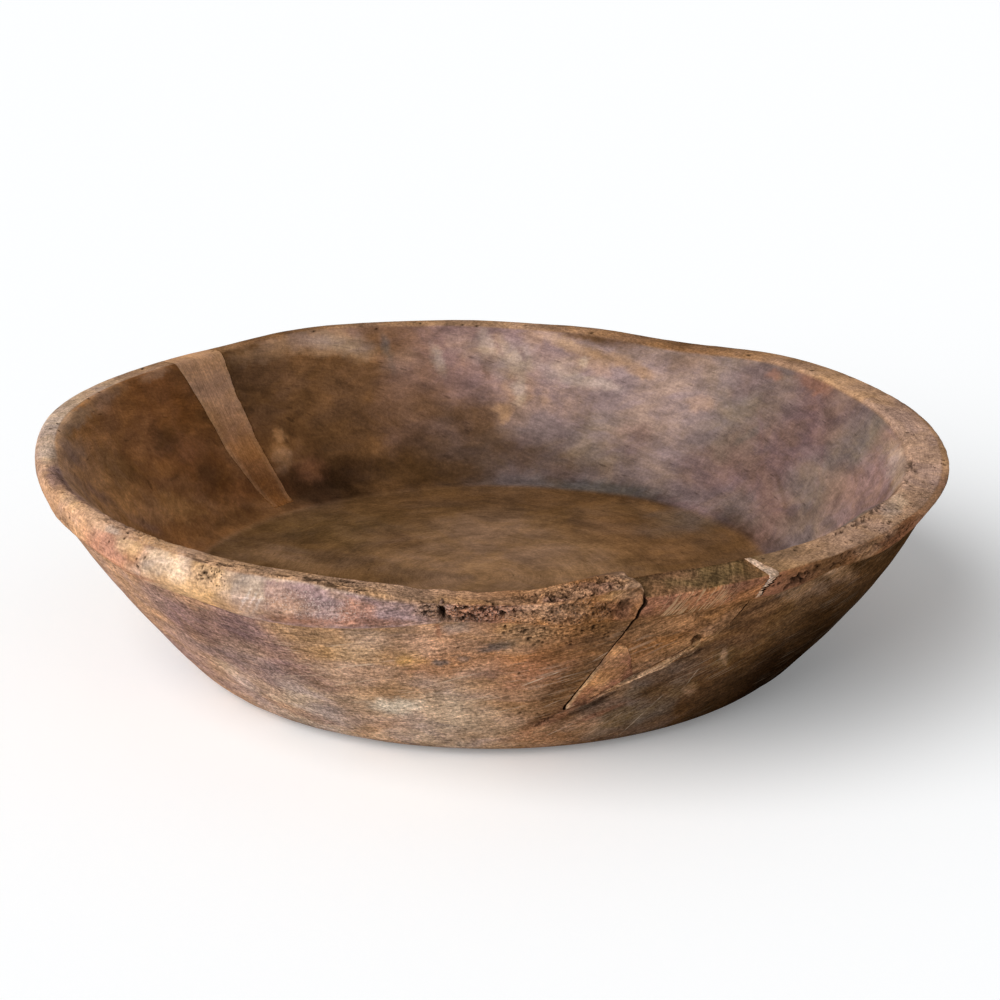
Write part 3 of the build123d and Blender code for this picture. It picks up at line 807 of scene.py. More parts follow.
# Stains and bare spots, in layers of one side each. Later ones cover earlier ones. Angle and height (share of
# the rim's thickness on the top, x and y on the floor), half length, half height, tilt, colour, strength,
# softness of the edge
STAINS = (
    ("top", (
        (191.2, 0.14, 9.9, 5.9, 2, "cream", 0.6, 0.4), (191, 0.57, 6.8, 2.3, -2, "mauve", 0.6, 0.5),
        (199.7, 0.12, 14.8, 4, 3, "plum", 0.5, 0.6),
    )),
    ("in", (
        (176, 100.9, 30.2, 3.9, 5, "ash", 0.5, 0.5),
    )),
    ("top", (
        (212.1, 0.29, 19.9, 5.1, 6, "peach", 0.7, 0.5), (218.2, 0.46, 11.5, 4.8, 10, "peach", 0.6, 0.5),
        (220.9, 0.5, 5.3, 3.1, 8, "pale", 0.7, 0.5),
    )),
    ("band", (
        (220.6, 88.1, 23.9, 11.6, 30, "salmon", 0.8, 0.5), (224.6, 96.9, 8.4, 4.7, -2, "cream", 0.9, 0.4),
        (228.6, 93.7, 5.5, 3.8, 13, "ash", 0.5, 0.5), (228, 91.7, 2.8, 2.3, -2, "grey", 0.5, 0.5),
        (226.2, 84.5, 16, 1.8, 10, "rust", 0.6, 0.5), (233.5, 94.6, 8.2, 5.6, 12, "pale", 0.5, 0.6),
        (230.1, 97.2, 8.6, 2.3, -4, "pale", 0.7, 0.5),
    )),
    ("wall", (
        (229, 79.6, 16.9, 6.2, 47, "peach", 0.6, 0.5),
    )),
    ("band", (
        (237.6, 94.9, 8.8, 6.6, 16, "cream", 0.7, 0.5), (237.6, 94.9, 6.2, 4.3, 15, "ochre", 0.4, 0.4),
        (236.2, 84.1, 17.3, 4.9, 11, "cream", 0.6, 0.5), (241.6, 83.5, 12.6, 2.1, 8, "cream", 0.7, 0.4),
    )),
    ("wall", (
        (221.6, 64.8, 24.3, 11.2, 17, "pink", 0.5, 0.5), (229.2, 61.7, 18.8, 11.6, 9, "mauve", 0.8, 0.5),
        (229.3, 51.3, 20.3, 13.6, 25, "plum", 0.55, 0.5),
    )),
    ("band", (
        (250.5, 90.4, 21.5, 7.7, 1, "lilac", 0.6, 0.5), (248.8, 82.1, 19.8, 2.5, 5, "rust", 0.5, 0.5),
        (257, 85.5, 16.4, 2.6, 4, "rust", 0.6, 0.5),
    )),
    ("wall", (
        (258.3, 78.2, 9, 2.9, 6, "grey", 0.35, 0.6), (260.7, 83.5, 4.5, 3.7, 56, "grey", 0.3, 0.5),
        (252.2, 65.7, 23.5, 8.6, 18, "ochre", 0.35, 0.6), (238.1, 67.3, 10.4, 7.3, 3, "plum", 0.6, 0.5),
        (243.3, 57.4, 14.4, 10.5, -26, "mauve", 0.8, 0.5), (247.3, 44.9, 12.6, 8.9, -45, "mauve", 0.6, 0.5),
        (232.2, 28.6, 16, 10, -16, "pale", 0.6, 0.5), (248.7, 27, 11, 8.2, 0, "plum", 0.35, 0.6),
        (263.9, 60.9, 15.7, 8, 22, "orange", 0.65, 0.5), (259.8, 63.5, 4.1, 3.1, 63, "ochre", 0.8, 0.4),
        (262.4, 18.9, 22.4, 7, 39, "pale", 0.45, 0.6), (262.2, 46.2, 11.2, 3.8, 20, "brown", 0.4, 0.6),
        (238.8, 15.6, 19.2, 5.2, -9, "rust", 0.4, 0.5), (252.1, 9.6, 13.6, 4.7, -1, "peach", 0.4, 0.5),
        (270, 55.6, 8.5, 3.8, 19, "plum", 0.4, 0.5),
    )),
    ("band", (
        (242.9, 91.5, 11, 7, 78, "ash", 0.9, 0.3), (243.3, 90.1, 9, 4.2, 81, "pale", 0.6, 0.5),
        (242.5, 88.2, 9.3, 0.5, 62, "white", 0.7, 0.3), (243.4, 87.9, 8.6, 0.5, 63, "white", 0.8, 0.3),
        # The thin pale lines at 245.6 and 254.5 degrees along the band's top edge are a painted highlight on
        # that edge
        (244.1, 87, 6.8, 0.5, 62, "white", 0.7, 0.3), (245.6, 99.3, 14.9, 0.7, 0, "pale", 0.7, 0.5),
        (254.5, 98.3, 19.5, 0.8, -6, "pale", 0.6, 0.5), (249.2, 94, 8, 4.9, 13, "mauve", 0.5, 0.5),
        (249.1, 84, 15.2, 2.7, 5, "rust", 0.5, 0.5), (255.6, 90.2, 8.1, 6.5, 60, "salmon", 0.7, 0.5),
        (253.9, 96.9, 4.3, 2.5, -1, "pink", 0.6, 0.5), (257.6, 96, 5.7, 2.9, -8, "plum", 0.6, 0.5),
        (260, 92, 5.9, 4.7, 66, "lilac", 0.5, 0.5), (263.7, 92.4, 8.9, 6.1, 11, "lilac", 0.6, 0.5),
    )),
    ("wall", (
        (265.9, 81.8, 4.8, 3.6, 5, "pink", 0.4, 0.5),
    )),
    ("band", (
        (269, 93, 15.8, 6.7, 1, "salmon", 0.7, 0.5),
    )),
    ("wall", (
        (271.9, 82.1, 4.3, 4, -86, "ochre", 0.5, 0.5),
    )),
    ("band", (
        (277.6, 86.6, 19.8, 9.8, 3, "orange", 0.6, 0.5),
    )),
    ("top", (
        (280.6, 0.63, 15.7, 7.4, -6, "brown", 0.4, 0.5),
    )),
    ("band", (
        (283.1, 97.5, 5.7, 2.6, 4, "ochre", 0.5, 0.5), (285.9, 88.7, 4.7, 2.3, 87, "orange", 0.8, 0.4),
    )),
    ("wall", (
        (273.8, 79.2, 8.2, 0.9, 18, "dark", 0.7, 0.4), (279.2, 81.8, 4.7, 0.7, 85, "umber", 0.7, 0.4),
        (281.7, 68.6, 14, 6.6, 44, "brown", 0.7, 0.5), (278.4, 61.8, 13, 5.2, 35, "rust", 0.3, 0.6),
        # The umber spot at 279.4 degrees is painted shade on the slope left of the crack and the tongue
        (276.2, 44.5, 11, 7, 36, "tan", 0.5, 0.5), (279.4, 46, 11, 4.5, 62, "umber", 0.8, 0.5),
        (279.9, 28.8, 14.8, 3.8, 49, "rust", 0.6, 0.5), (276.3, 22, 10.7, 3.6, 52, "rust", 0.5, 0.5),
        (277.7, 13.1, 17.5, 4.7, 4, "orange", 0.4, 0.5),
    )),
    ("top", (
        (277.3, 0.87, 7.7, 4.9, -19, "mauve", 0.6, 0.5), (280.7, 0.55, 8.3, 4.9, 1, "mauve", 0.4, 0.5),
    )),
    ("band", (
        (283.1, 97.9, 6.2, 3.6, -18, "ochre", 0.5, 0.5), (284.1, 89.5, 6.4, 4.7, -31, "rust", 0.6, 0.5),
    )),
    ("wall", (
        (277.7, 84.5, 9.5, 8, 1, "orange", 0.8, 0.5), (273.4, 76.1, 10.2, 8.3, 41, "tan", 0.8, 0.5),
        (273.4, 76.1, 5.7, 3.7, 53, "peach", 0.5, 0.5), (268.9, 76, 8.9, 6.6, 40, "tan", 0.5, 0.5),
        (295.2, 28.5, 13.2, 8.8, 84, "grey", 0.5, 0.6), (287.2, 14.8, 11.1, 5.6, 71, "ash", 0.4, 0.6),
        (294.8, 9.6, 13.4, 6.9, 17, "brown", 0.5, 0.5), (302.1, 50.9, 9.3, 6.4, -52, "olive", 0.5, 0.5),
        (301.5, 51.5, 8.3, 1.7, -74, "tan", 0.4, 0.5), (309.5, 78, 9, 0.8, 12, "tan", 0.5, 0.5),
        (313.7, 85.2, 3.8, 1.2, -27, "ash", 0.3, 0.6), (304.8, 80.1, 20.3, 2.1, 19, "dark", 0.6, 0.4),
    )),
    ("top", (
        (305.4, 0.65, 15.1, 4.7, 1, "tan", 0.4, 0.5),
    )),
    ("in", (
        (345.5, 90, 30, 3.9, -10, "brown", 0.6, 0.5),
    )),
    ("wall", (
        (254.7, 67.9, 13.5, 7.5, 38, "pale", 0.35, 0.6), (250.2, 71.7, 10.2, 6, 32, "grey", 0.25, 0.6),
        (235.3, 33.3, 17.6, 11.1, 46, "mauve", 0.5, 0.5), (255.6, 11.5, 16.3, 6.5, 12, "pale", 0.6, 0.5),
        (265.3, 14.3, 11, 6.1, 17, "brown", 0.3, 0.5), (283.6, 18.8, 9.1, 8.2, -30, "tan", 0.6, 0.5),
        (289.6, 22.4, 11.5, 8.9, 1, "olive", 0.7, 0.5), (294.7, 32.2, 12.8, 11.1, -68, "olive", 0.6, 0.6),
        (290.8, 38.3, 9.2, 6.4, -81, "grey", 0.5, 0.5), (321.3, 70.9, 20.3, 7, -10, "umber", 0.6, 0.5),
    )),
    ("top", (
        (164.2, 0.31, 14.9, 4.8, -23, "tan", 0.4, 0.5),
    )),
    ("in", (
        (150.5, 99, 12.7, 2.5, -1, "tan", 0.5, 0.5), (153.8, 64.7, 16.4, 6.8, 10, "rust", 0.4, 0.6),
        (145.5, 35.9, 15.9, 4.1, 0, "orange", 0.5, 0.6), (165.8, 48.1, 16.9, 8, 35, "ochre", 0.2, 0.6),
        (150.9, 30.5, 21.1, 3, 3, "umber", 0.7, 0.5), (133, 47.6, 6.5, 4.7, -17, "tan", 0.8, 0.4),
        (131.6, 56.3, 3.9, 2.9, -36, "tan", 0.4, 0.5), (134.5, 41.9, 4.1, 2.2, 3, "tan", 0.5, 0.5),
        (127, 33.2, 28.6, 10.7, -2, "dark", 0.85, 0.5), (120.1, 35.7, 22.8, 7.1, -2, "dark", 0.6, 0.6),
        (111.5, 31.5, 15.6, 4.5, 5, "umber", 0.6, 0.6), (131, 93.5, 13.6, 8.2, -4, "umber", 0.6, 0.6),
        (107.9, 91.3, 5.5, 3, -79, "slate", 0.5, 0.5), (93.3, 58.2, 19.4, 10.5, 0, "umber", 0.6, 0.6),
        (88.8, 89.2, 7.3, 4.8, 70, "tan", 0.6, 0.5), (85.5, 67.7, 9.1, 8.2, 7, "tan", 0.5, 0.5),
        (88.1, 58.2, 5.5, 4.1, 1, "tan", 0.6, 0.5), (91.2, 79, 8.4, 3, 76, "umber", 0.5, 0.5),
        (83.6, 92.8, 7.3, 4.8, 20, "tan", 0.6, 0.5), (72.9, 81.7, 12.5, 4.6, 16, "pink", 0.8, 0.5),
        (64.1, 80.3, 7.6, 2.9, 4, "tan", 0.6, 0.5), (75.8, 88.4, 15.4, 3, 12, "tan", 0.7, 0.5),
        (71, 72.1, 11, 2.9, -4, "pink", 0.5, 0.5), (72.6, 95.5, 24, 3, 0, "umber", 0.8, 0.5),
        (61.9, 66.4, 12.8, 8, 0, "dove", 0.6, 0.6), (63.1, 48.9, 16.1, 8.9, -2, "plum", 0.6, 0.6),
        (54.7, 46.3, 20.5, 11, -2, "dove", 0.5, 0.6), (51.1, 71.4, 9.6, 4.6, -6, "tan", 0.4, 0.5),
        (70.8, 37.8, 15.8, 6.6, -3, "olive", 0.4, 0.6), (42.5, 87, 18.2, 10.4, -3, "plum", 0.5, 0.6),
        (31.3, 95, 15.9, 4.8, 10, "rust", 0.5, 0.5), (39.7, 92.3, 5.8, 2.9, -6, "rust", 0.5, 0.5),
        (38.5, 63.7, 11.5, 2.9, -43, "slate", 0.4, 0.5), (43.2, 49, 10.8, 5.3, -29, "grey", 0.4, 0.6),
        # The thin dark and plum strips at height 27, from 24 to 63 degrees, are painted shade in the crease
        # between the hollow's wall and floor, with some purple stain
        (62.8, 27.5, 47.5, 3.2, -1, "dark", 0.75, 0.5), (42, 27, 24, 3.2, 0, "plum", 0.7, 0.5),
        (24, 27, 16, 3.2, 0, "dark", 0.7, 0.5), (34, 60, 22, 1.1, 48, "plum", 0.6, 0.6),
        (16, 62, 24, 1.2, 40, "plum", 0.6, 0.6), (22, 48, 16, 1.4, 22, "bark", 0.5, 0.6),
        (30, 36, 30, 9, 0, "dusk", 0.6, 0.7), (17.5, 57.6, 22.4, 13.9, -8, "grey", 0.5, 0.6),
        (1.9, 72.6, 22.8, 7.1, -7, "mauve", 0.5, 0.6), (359, 90.5, 19.3, 6, 12, "pink", 0.6, 0.4),
        (120.3, 78.2, 17.7, 11.9, 0, "umber", 0.5, 0.6), (103.3, 30.9, 35.9, 7.2, 3, "bark", 0.8, 0.6),
        (111.9, 90, 8.7, 6.1, 0, "tan", 0.35, 0.6), (105.7, 83.6, 12.2, 7.3, 2, "pink", 0.3, 0.6),
        (92.1, 86.8, 9.7, 6.1, 1, "ash", 0.3, 0.6), (85.4, 82, 9.7, 7.2, 1, "grey", 0.6, 0.5),
        (78.4, 77.9, 10.9, 6, -1, "ash", 0.4, 0.6), (92.5, 49, 13.4, 11.4, -2, "umber", 0.5, 0.6),
        (80.8, 49.6, 11.2, 10.1, 17, "grey", 0.4, 0.6), (68.7, 47.3, 18.9, 11.1, 0, "ash", 0.25, 0.6),
        (41.5, 44.4, 26.6, 12, -6, "plum", 0.6, 0.6), (27.7, 40.2, 21.9, 8.5, -8, "plum", 0.5, 0.6),
        (2.3, 67.7, 34.9, 10.7, -8, "mauve", 0.6, 0.7), (161.9, 100.6, 16.1, 3.9, 3, "tan", 0.5, 0.5),
        (177.3, 102.3, 15.2, 3.9, -4, "tan", 0.4, 0.5), (351.5, 89.8, 43.1, 7, -3, "ash", 0.5, 0.5),
        (155.8, 71.3, 11.7, 6.9, -11, "umber", 0.6, 0.6), (172.7, 72.4, 20.5, 11.6, 25, "olive", 0.4, 0.6),
        (183.3, 101, 14.2, 4.3, -2, "tan", 0.7, 0.6), (184.7, 94.5, 21.3, 6.4, 11, "pink", 0.7, 0.7),
    )),
    ("top", (
        (190.2, 0.3, 9.7, 5.5, -5, "pale", 0.7, 0.5), (198.8, 0.23, 15.6, 3.6, 12, "lilac", 0.6, 0.5),
        (209.2, 0.3, 23.9, 4.5, 2, "peach", 0.6, 0.5), (216.7, 0.3, 17.6, 5, 7, "cream", 0.4, 0.5),
        (206, 0.06, 46, 2.4, 0, "plum", 0.6, 0.8), (189.4, 0.41, 19, 3.6, 0, "pale", 0.5, 0.6),
        (200.6, 0.33, 14, 4.1, 5, "mauve", 0.7, 0.6), (209.7, 0.44, 11.5, 3.7, 3, "cream", 0.6, 0.6),
    )),
    ("band", (
        (218.4, 93.2, 10.9, 4.9, -6, "salmon", 0.5, 0.6), (225.5, 93.4, 9.9, 3.1, -8, "rust", 0.4, 0.6),
    )),
    ("in", (
        (186.8, 74.7, 17.8, 4.5, 41, "mauve", 0.5, 0.6), (179.4, 53.2, 15.4, 3.8, 42, "mauve", 0.4, 0.6),
        (150, 50, 16, 14, 0, "mahogany", 0.5, 0.7), (120.2, 98, 25.8, 4.6, 0, "pink", 0.6, 0.7),
        (127.6, 95.3, 26.4, 4.6, -2, "tan", 0.5, 0.7),
    )),
    ("band", (
        (224.4, 97.5, 9.2, 4.3, -7, "cream", 0.6, 0.5), (220.6, 91.2, 10.7, 6.2, 1, "salmon", 0.5, 0.5),
        (229.1, 92.6, 7.2, 4.1, 3, "ash", 0.5, 0.5), (232.6, 94.3, 8.9, 5.1, 0, "pale", 0.6, 0.6),
        (237.4, 94.7, 7.7, 5.2, 3, "cream", 0.7, 0.4),
    )),
    ("wall", (
        (233, 78.6, 13.9, 7.3, 12, "peach", 0.5, 0.5), (228.2, 66.3, 9.5, 4.9, 34, "mauve", 0.6, 0.5),
    )),
    ("in", (
        (150.3, 49.3, 8.9, 6.8, 10, "bark", 0.7, 0.6), (131.5, 35.9, 17.9, 11.8, -6, "dark", 0.8, 0.6),
        (143.7, 72.6, 8.9, 3.3, 30, "bark", 0.7, 0.6), (140, 38, 14, 8, 0, "dark", 0.55, 0.6),
        (133, 49, 6.5, 6, -17, "amber", 0.6, 0.6), (131.6, 57, 4, 4, 0, "amber", 0.5, 0.6),
        (84, 38, 16, 8, 0, "bark", 0.5, 0.7), (169.7, 69.4, 23.1, 8.2, 25, "bark", 0.25, 0.7),
        (94.6, 40, 36.8, 12.4, 1, "bark", 0.55, 0.7), (118.8, 91.6, 10.7, 2.6, 7, "tan", 0.7, 0.7),
        (116.5, 96.1, 4.5, 2.8, 55, "tan", 0.7, 0.7), (113.6, 90.7, 7.6, 2.4, 74, "tan", 0.7, 0.7),
        (107.5, 87.1, 11.9, 2.2, 81, "grey", 0.4, 0.7), (99.3, 82.7, 8.4, 3.2, 75, "ash", 0.7, 0.7),
        (95.4, 91.1, 8.5, 7.2, -3, "pink", 0.5, 0.6), (91.3, 90.8, 8.4, 4.2, 70, "pale", 0.5, 0.5),
        (86.8, 83.1, 13.4, 10.8, 21, "ash", 0.6, 0.6), (85.1, 85.1, 5.5, 1.2, 57, "plum", 0.6, 0.4),
        (88.8, 87, 5.5, 1.2, 59, "plum", 0.5, 0.4), (85.1, 67.4, 8.9, 4.2, 86, "ash", 0.7, 0.5),
        (87.9, 54.7, 3, 2.9, 6, "tan", 0.6, 0.5), (80.5, 64.6, 4.7, 3, 82, "pink", 0.6, 0.5),
        (78.1, 91.2, 15, 2.9, 16, "cream", 0.5, 0.7), (69.3, 85.3, 17.8, 3.4, 14, "tan", 0.6, 0.7),
        (74.6, 82.7, 3.7, 3, 69, "pale", 0.7, 0.4), (72.8, 73.5, 18.7, 3.5, 7, "ash", 0.7, 0.5),
        # The dark and slate strips near height 28, from 12.7 to 66 degrees, are more painted shade in that
        # crease
        (72.2, 94.5, 25, 4.1, 9, "umber", 0.7, 0.5), (26.5, 28.2, 26, 4.6, 1, "dark", 0.6, 0.6),
        (66, 27, 55, 3.6, 0, "slate", 0.6, 0.7), (12.7, 30.3, 21.1, 3.5, -8, "dark", 0.5, 0.6),
    )),
    ("band", (
        (266.5, 91.5, 13, 5.5, 2, "rust", 0.4, 0.6), (274, 93, 10, 7, -7, "peach", 0.7, 0.6),
    )),
    ("wall", (
        (274.5, 80.7, 13.7, 10.1, -6, "tan", 0.5, 0.6),
    )),
    ("band", (
        (282.5, 94, 9, 6, 0, "rust", 0.5, 0.6), (278.1, 86.5, 10.3, 8.2, 15, "peach", 0.4, 0.6),
    )),
    ("wall", (
        (274.9, 57.9, 16, 12.2, 58, "rust", 0.6, 0.6), (278.4, 63.5, 9.6, 5.9, 71, "brown", 0.5, 0.6),
        (294, 36.2, 10.4, 9, 2, "umber", 0.6, 0.6), (302.2, 63.6, 15.6, 9.6, -41, "umber", 0.6, 0.6),
        (299.6, 31.6, 6.1, 3.2, -65, "tan", 0.5, 0.5), (302.2, 49.3, 9.2, 1.4, -64, "tan", 0.6, 0.4),
        (270.8, 72.3, 7.6, 3, 24, "grey", 0.8, 0.5), (264, 62, 3.6, 2.2, 10, "slate", 0.75, 0.6),
        (266.8, 64.6, 3, 1.9, 7, "grey", 0.6, 0.6), (255.1, 78.8, 7, 4, 20, "grey", 0.6, 0.6),
        (257, 30, 17, 10, 12, "ash", 0.6, 0.6), (257.1, 33.5, 10.3, 5, 12, "white", 0.7, 0.6),
    )),
    ("band", (
        (318.2, 92.1, 15.5, 6, -37, "tan", 0.6, 0.5),
    )),
    ("wall", (
        (320.8, 68.6, 12.2, 5.3, -36, "bark", 0.5, 0.5), (316.2, 82.3, 8.5, 4.2, -32, "brown", 0.6, 0.7),
    )),
    ("band", (
        (321.8, 97, 10.7, 3.8, 6, "tan", 0.6, 0.6), (335, 95, 20, 7, 0, "tan", 0.6, 0.6),
    )),
    ("top", (
        (277.6, 0.46, 11.9, 5.8, 24, "peach", 0.5, 0.6),
    )),
    ("band", (
        (263.8, 95.7, 5.7, 3.9, 14, "pink", 0.6, 0.5), (275.8, 94.7, 8.9, 5.4, -11, "peach", 0.6, 0.6),
        (280.7, 90.9, 6.9, 4.9, -23, "amber", 0.4, 0.6),
    )),
    ("wall", (
        (264.3, 81.6, 5.7, 1.2, -89, "rust", 0.8, 0.5), (260.7, 63.5, 6.7, 5.2, 20, "ochre", 0.5, 0.5),
        (266.2, 83.9, 5.6, 3.6, 3, "ash", 0.5, 0.6), (278.1, 44.7, 10, 4.2, -82, "brown", 0.5, 0.6),
        (277.8, 27.3, 10.7, 2.3, 44, "umber", 0.7, 0.6), (284, 33.3, 13.5, 1.7, 40, "dark", 0.8, 0.5),
        (286, 26.8, 11.3, 1.9, 34, "rust", 0.6, 0.5), (293.5, 40.5, 14.6, 2.4, 41, "bark", 0.6, 0.5),
        (295.8, 56.8, 6.8, 1.9, 43, "dark", 0.7, 0.5),
    )),
    ("top", (
        (330, 0.35, 18.5, 4.1, -10, "pale", 0.5, 0.5),
    )),
    ("floor", (
        (13.9, 11, 50, 16, 0, "tan", 0.35, 0.7), (-5.7, -14, 40, 12, 0, "tan", 0.3, 0.7),
        (-116.2, 31, 26, 12, -25, "tan", 0.25, 0.9), (-95.3, 21, 26, 12, -24, "tan", 0.2, 0.9),
        (0, 125, 110, 16, 0, "umber", 0.5, 0.6), (4, 47, 60, 40, 0, "tan", 0.4, 0.6),
        (80.6, 55, 36.1, 23.3, -49, "brown", 0.4, 0.6), (-83.8, 70, 31.3, 27.8, -16, "olive", 0.3, 0.6),
        # These two dark strips at the back right edge of the floor are painted shade in the crease
        (84.2, 115, 37.2, 6.1, -32, "dark", 0.7, 0.6), (58.2, 134, 19.3, 4.5, -21, "umber", 0.6, 0.6),
        (123.5, 50, 19.5, 10.1, 86, "umber", 0.6, 0.7), (-47, 55, 16.9, 16.2, -60, "umber", 0.5, 0.6),
        (45.3, 70, 15.5, 12.5, 3, "umber", 0.25, 0.6),
    )),
    ("in", (
        (143.7, 38, 24.1, 6.2, 13, "mahogany", 0.5, 0.7), (99.1, 31.4, 21.1, 5.7, 1, "bark", 0.4, 0.7),
        (75.6, 32.5, 10.2, 5.8, 1, "bark", 0.5, 0.7), (166.9, 46.6, 32.5, 6.3, 19, "amber", 0.4, 0.7),
        (128.5, 39.1, 9.2, 5.5, 0, "rust", 0.5, 0.7), (165.5, 100.1, 13, 5.9, -11, "peach", 0.5, 0.6),
        (120.2, 98, 21.4, 5.3, 7, "tan", 0.45, 0.7),
    )),
    ("band", (
        (245.7, 86.2, 15.7, 4.7, 16, "peach", 0.45, 0.7), (263.7, 93.5, 6, 5.1, 41, "peach", 0.4, 0.7),
        (276.3, 93.5, 6, 5.1, -42, "peach", 0.4, 0.7),
    )),
    ("top", (
        (283.7, 0.82, 4, 1.2, 3, "peach", 0.45, 0.7),
    )),
    ("wall", (
        (306.6, 83.6, 17, 4.4, -38, "tan", 0.4, 0.7), (314.5, 85.3, 22.5, 4.3, -35, "tan", 0.6, 0.8),
        (312.2, 78.3, 13, 3.8, -31, "tan", 0.4, 0.8),
    )),
    ("in", (
        (169.8, 49.4, 30.7, 6.3, 18, "amber", 0.4, 0.8),
    )),
    ("band", (
        (239.3, 81.2, 28.9, 6.5, 27, "peach", 0.5, 0.8), (278.4, 93.9, 6.8, 5.1, -24, "peach", 0.5, 0.7),
    )),
    ("top", (
        (283.9, 0.82, 3.7, 1.1, 3, "peach", 0.5, 0.7),
    )),
    ("in", (
        (115.5, 93.8, 18.4, 5.6, 16, "ash", 0.5, 0.8), (56.4, 89.5, 16.4, 6, -16, "umber", 0.4, 0.8),
        (31, 35.7, 16.3, 6.8, 2, "slate", 0.4, 0.8),
    )),
    ("floor", (
        (103.2, 84, 23, 13.8, 33, "slate", 0.45, 0.8),
    )),
    ("in", (
        # The thin slate strip at 65.5 degrees is painted shade in the crease above the floor
        (65.5, 27.6, 35.3, 2.4, -5, "slate", 0.4, 0.8), (144.6, 43.3, 39, 23.9, -6, "sienna", 0.35, 0.9),
        (101.1, 66, 18.7, 14, -33, "brown", 0.45, 0.9),
    )),
    ("band", (
        (284.5, 97, 6, 4, 0, "peach", 0.5, 0.7),
    )),
)

# Long thin scratches on the wall: angle, height, half length, tilt, strength
SCRATCHES = (
    (253.4, 57.5, 9.6, 18, 1.0), (258.3, 62.4, 6.2, 16, 0.6), (253.0, 47.1, 17.6, 24, 0.5),
    (264.9, 50.8, 16.6, 26, 0.6), (265.3, 35.9, 19.7, 26, 0.8), (276.4, 52.1, 10.2, 34, 1.0),
    (269.4, 38.8, 8.1, 24, 0.5), (271.3, 30.8, 13.7, 27, 0.5), (254.1, 35.6, 12.8, 18, 0.5),
    (259.6, 22.4, 14.4, 18, 0.5), (284.5, 67.2, 10.7, 46, 0.5), (293.2, 19.4, 18.8, 71, 0.7),
    (287.5, 19.0, 10.8, 53, 0.6), (280.5, 18.0, 7.6, 41, 0.6), (298.3, 39.2, 9.4, 82, 0.5),
    (279.5, 37.7, 9.0, 37, 0.4), (244.3, 45.0, 18.3, 22, 0.4), (253.1, 70.2, 11.4, 19, 0.4),
)

# Where fine marks show: side, angle, height, half length, half height, strength
SCRATCHED = (
    ("wall", 252, 62, 26, 13, 0.8), ("wall", 264, 40, 28, 12, 0.9), ("wall", 262, 20, 32, 11, 0.9),
    ("wall", 276, 52, 16, 12, 0.7), ("wall", 290, 22, 26, 16, 0.7), ("wall", 300, 45, 18, 16, 0.5),
    ("wall", 235, 40, 30, 25, 0.35), ("wall", 310, 74, 18, 8, 0.25),
)
# Pale specks, many of them painted light: glints of sheen on the purple band and on the left of the band, and
# highlights on the crumb ridges of the worm-eaten rim
SPECKS_AND_GLINTS = (
    ("band", 250.5, 90, 24, 8, 0.8), ("band", 253.5, 89, 8, 5, 1.0), ("band", 267.5, 93, 20, 8, 0.7),
    ("band", 215.0, 92, 30, 8, 0.25), ("band", 280.0, 92, 12, 7, 0.3), ("top", 228.0, 0.5, 24, 8, 0.3),
)
POROUS = (
    ("band", 278.0, 90, 26, 14, 0.75), ("wall", 277.0, 80, 24, 6, 0.6), ("top", 279.0, 0.5, 26, 9, 0.7),
    ("top", 248.0, 0.5, 50, 9, 0.6), ("band", 318.0, 92, 60, 9, 0.6), ("top", 330.0, 0.9, 60, 5, 0.6),
    ("band", 268.0, 93, 24, 8, 0.8), ("band", 250.0, 90, 24, 9, 0.35), ("wall", 266.0, 66, 16, 9, 0.35),
    ("top", 205.0, 0.5, 40, 9, 0.35), ("band", 238.1, 95, 9, 7, 0.8),
)

# Tilt of the wall's grain round the bowl, rising to the right
GRAIN_TILT = (
    (200, 0), (240, 3), (258, 9), (270, 16), (281, 26), (292, 36), (305, 24), (330, 10), (0, 0), (90, -14),
    (170, -10),
)
TILT_FADES = (400.0, 290.0)  # way up from the foot between which that tilt sets in, over the rim
GRAIN_RADIUS = 195.0  # middle radius of the wall
GRAIN_SQUEEZE = 0.15  # how much shorter the streaks' space is along the grain


TONE_WAVER = 5.0  # degrees that the tones round the bowl wander
TONE_LIFT = 14.0  # and millimetres up and down
WALL_FADE = (22.0, 66.0)  # heights between which the low tones give way to the high ones
INNER_FADE = (36.0, 84.0)
PLAIN_SCRATCHED = 0.25  # share of fine scratches on the plain wall
PLAIN_PORES = {"wall": 0.1, "band": 0.16, "top": 0.2, "in": 0.05}


def ring_tone(angles, table):
    """Colour round the bowl from a table of tones."""
    at = [angle for angle, _ in table]
    tones = np.array([PALETTE[name] for _, name in table])
    return np.stack([np.interp(angles, at, channel, period=360.0) for channel in tones.T], axis=1)


def tint(colours, name, weight, near=slice(None)):
    """Blends points towards a colour of the palette."""
    colours[near] += weight[:, None] * (np.array(PALETTE[name]) - colours[near])


def cover(colours, others, weight):
    """Blends points towards other colours."""
    colours += weight[:, None] * (others - colours)


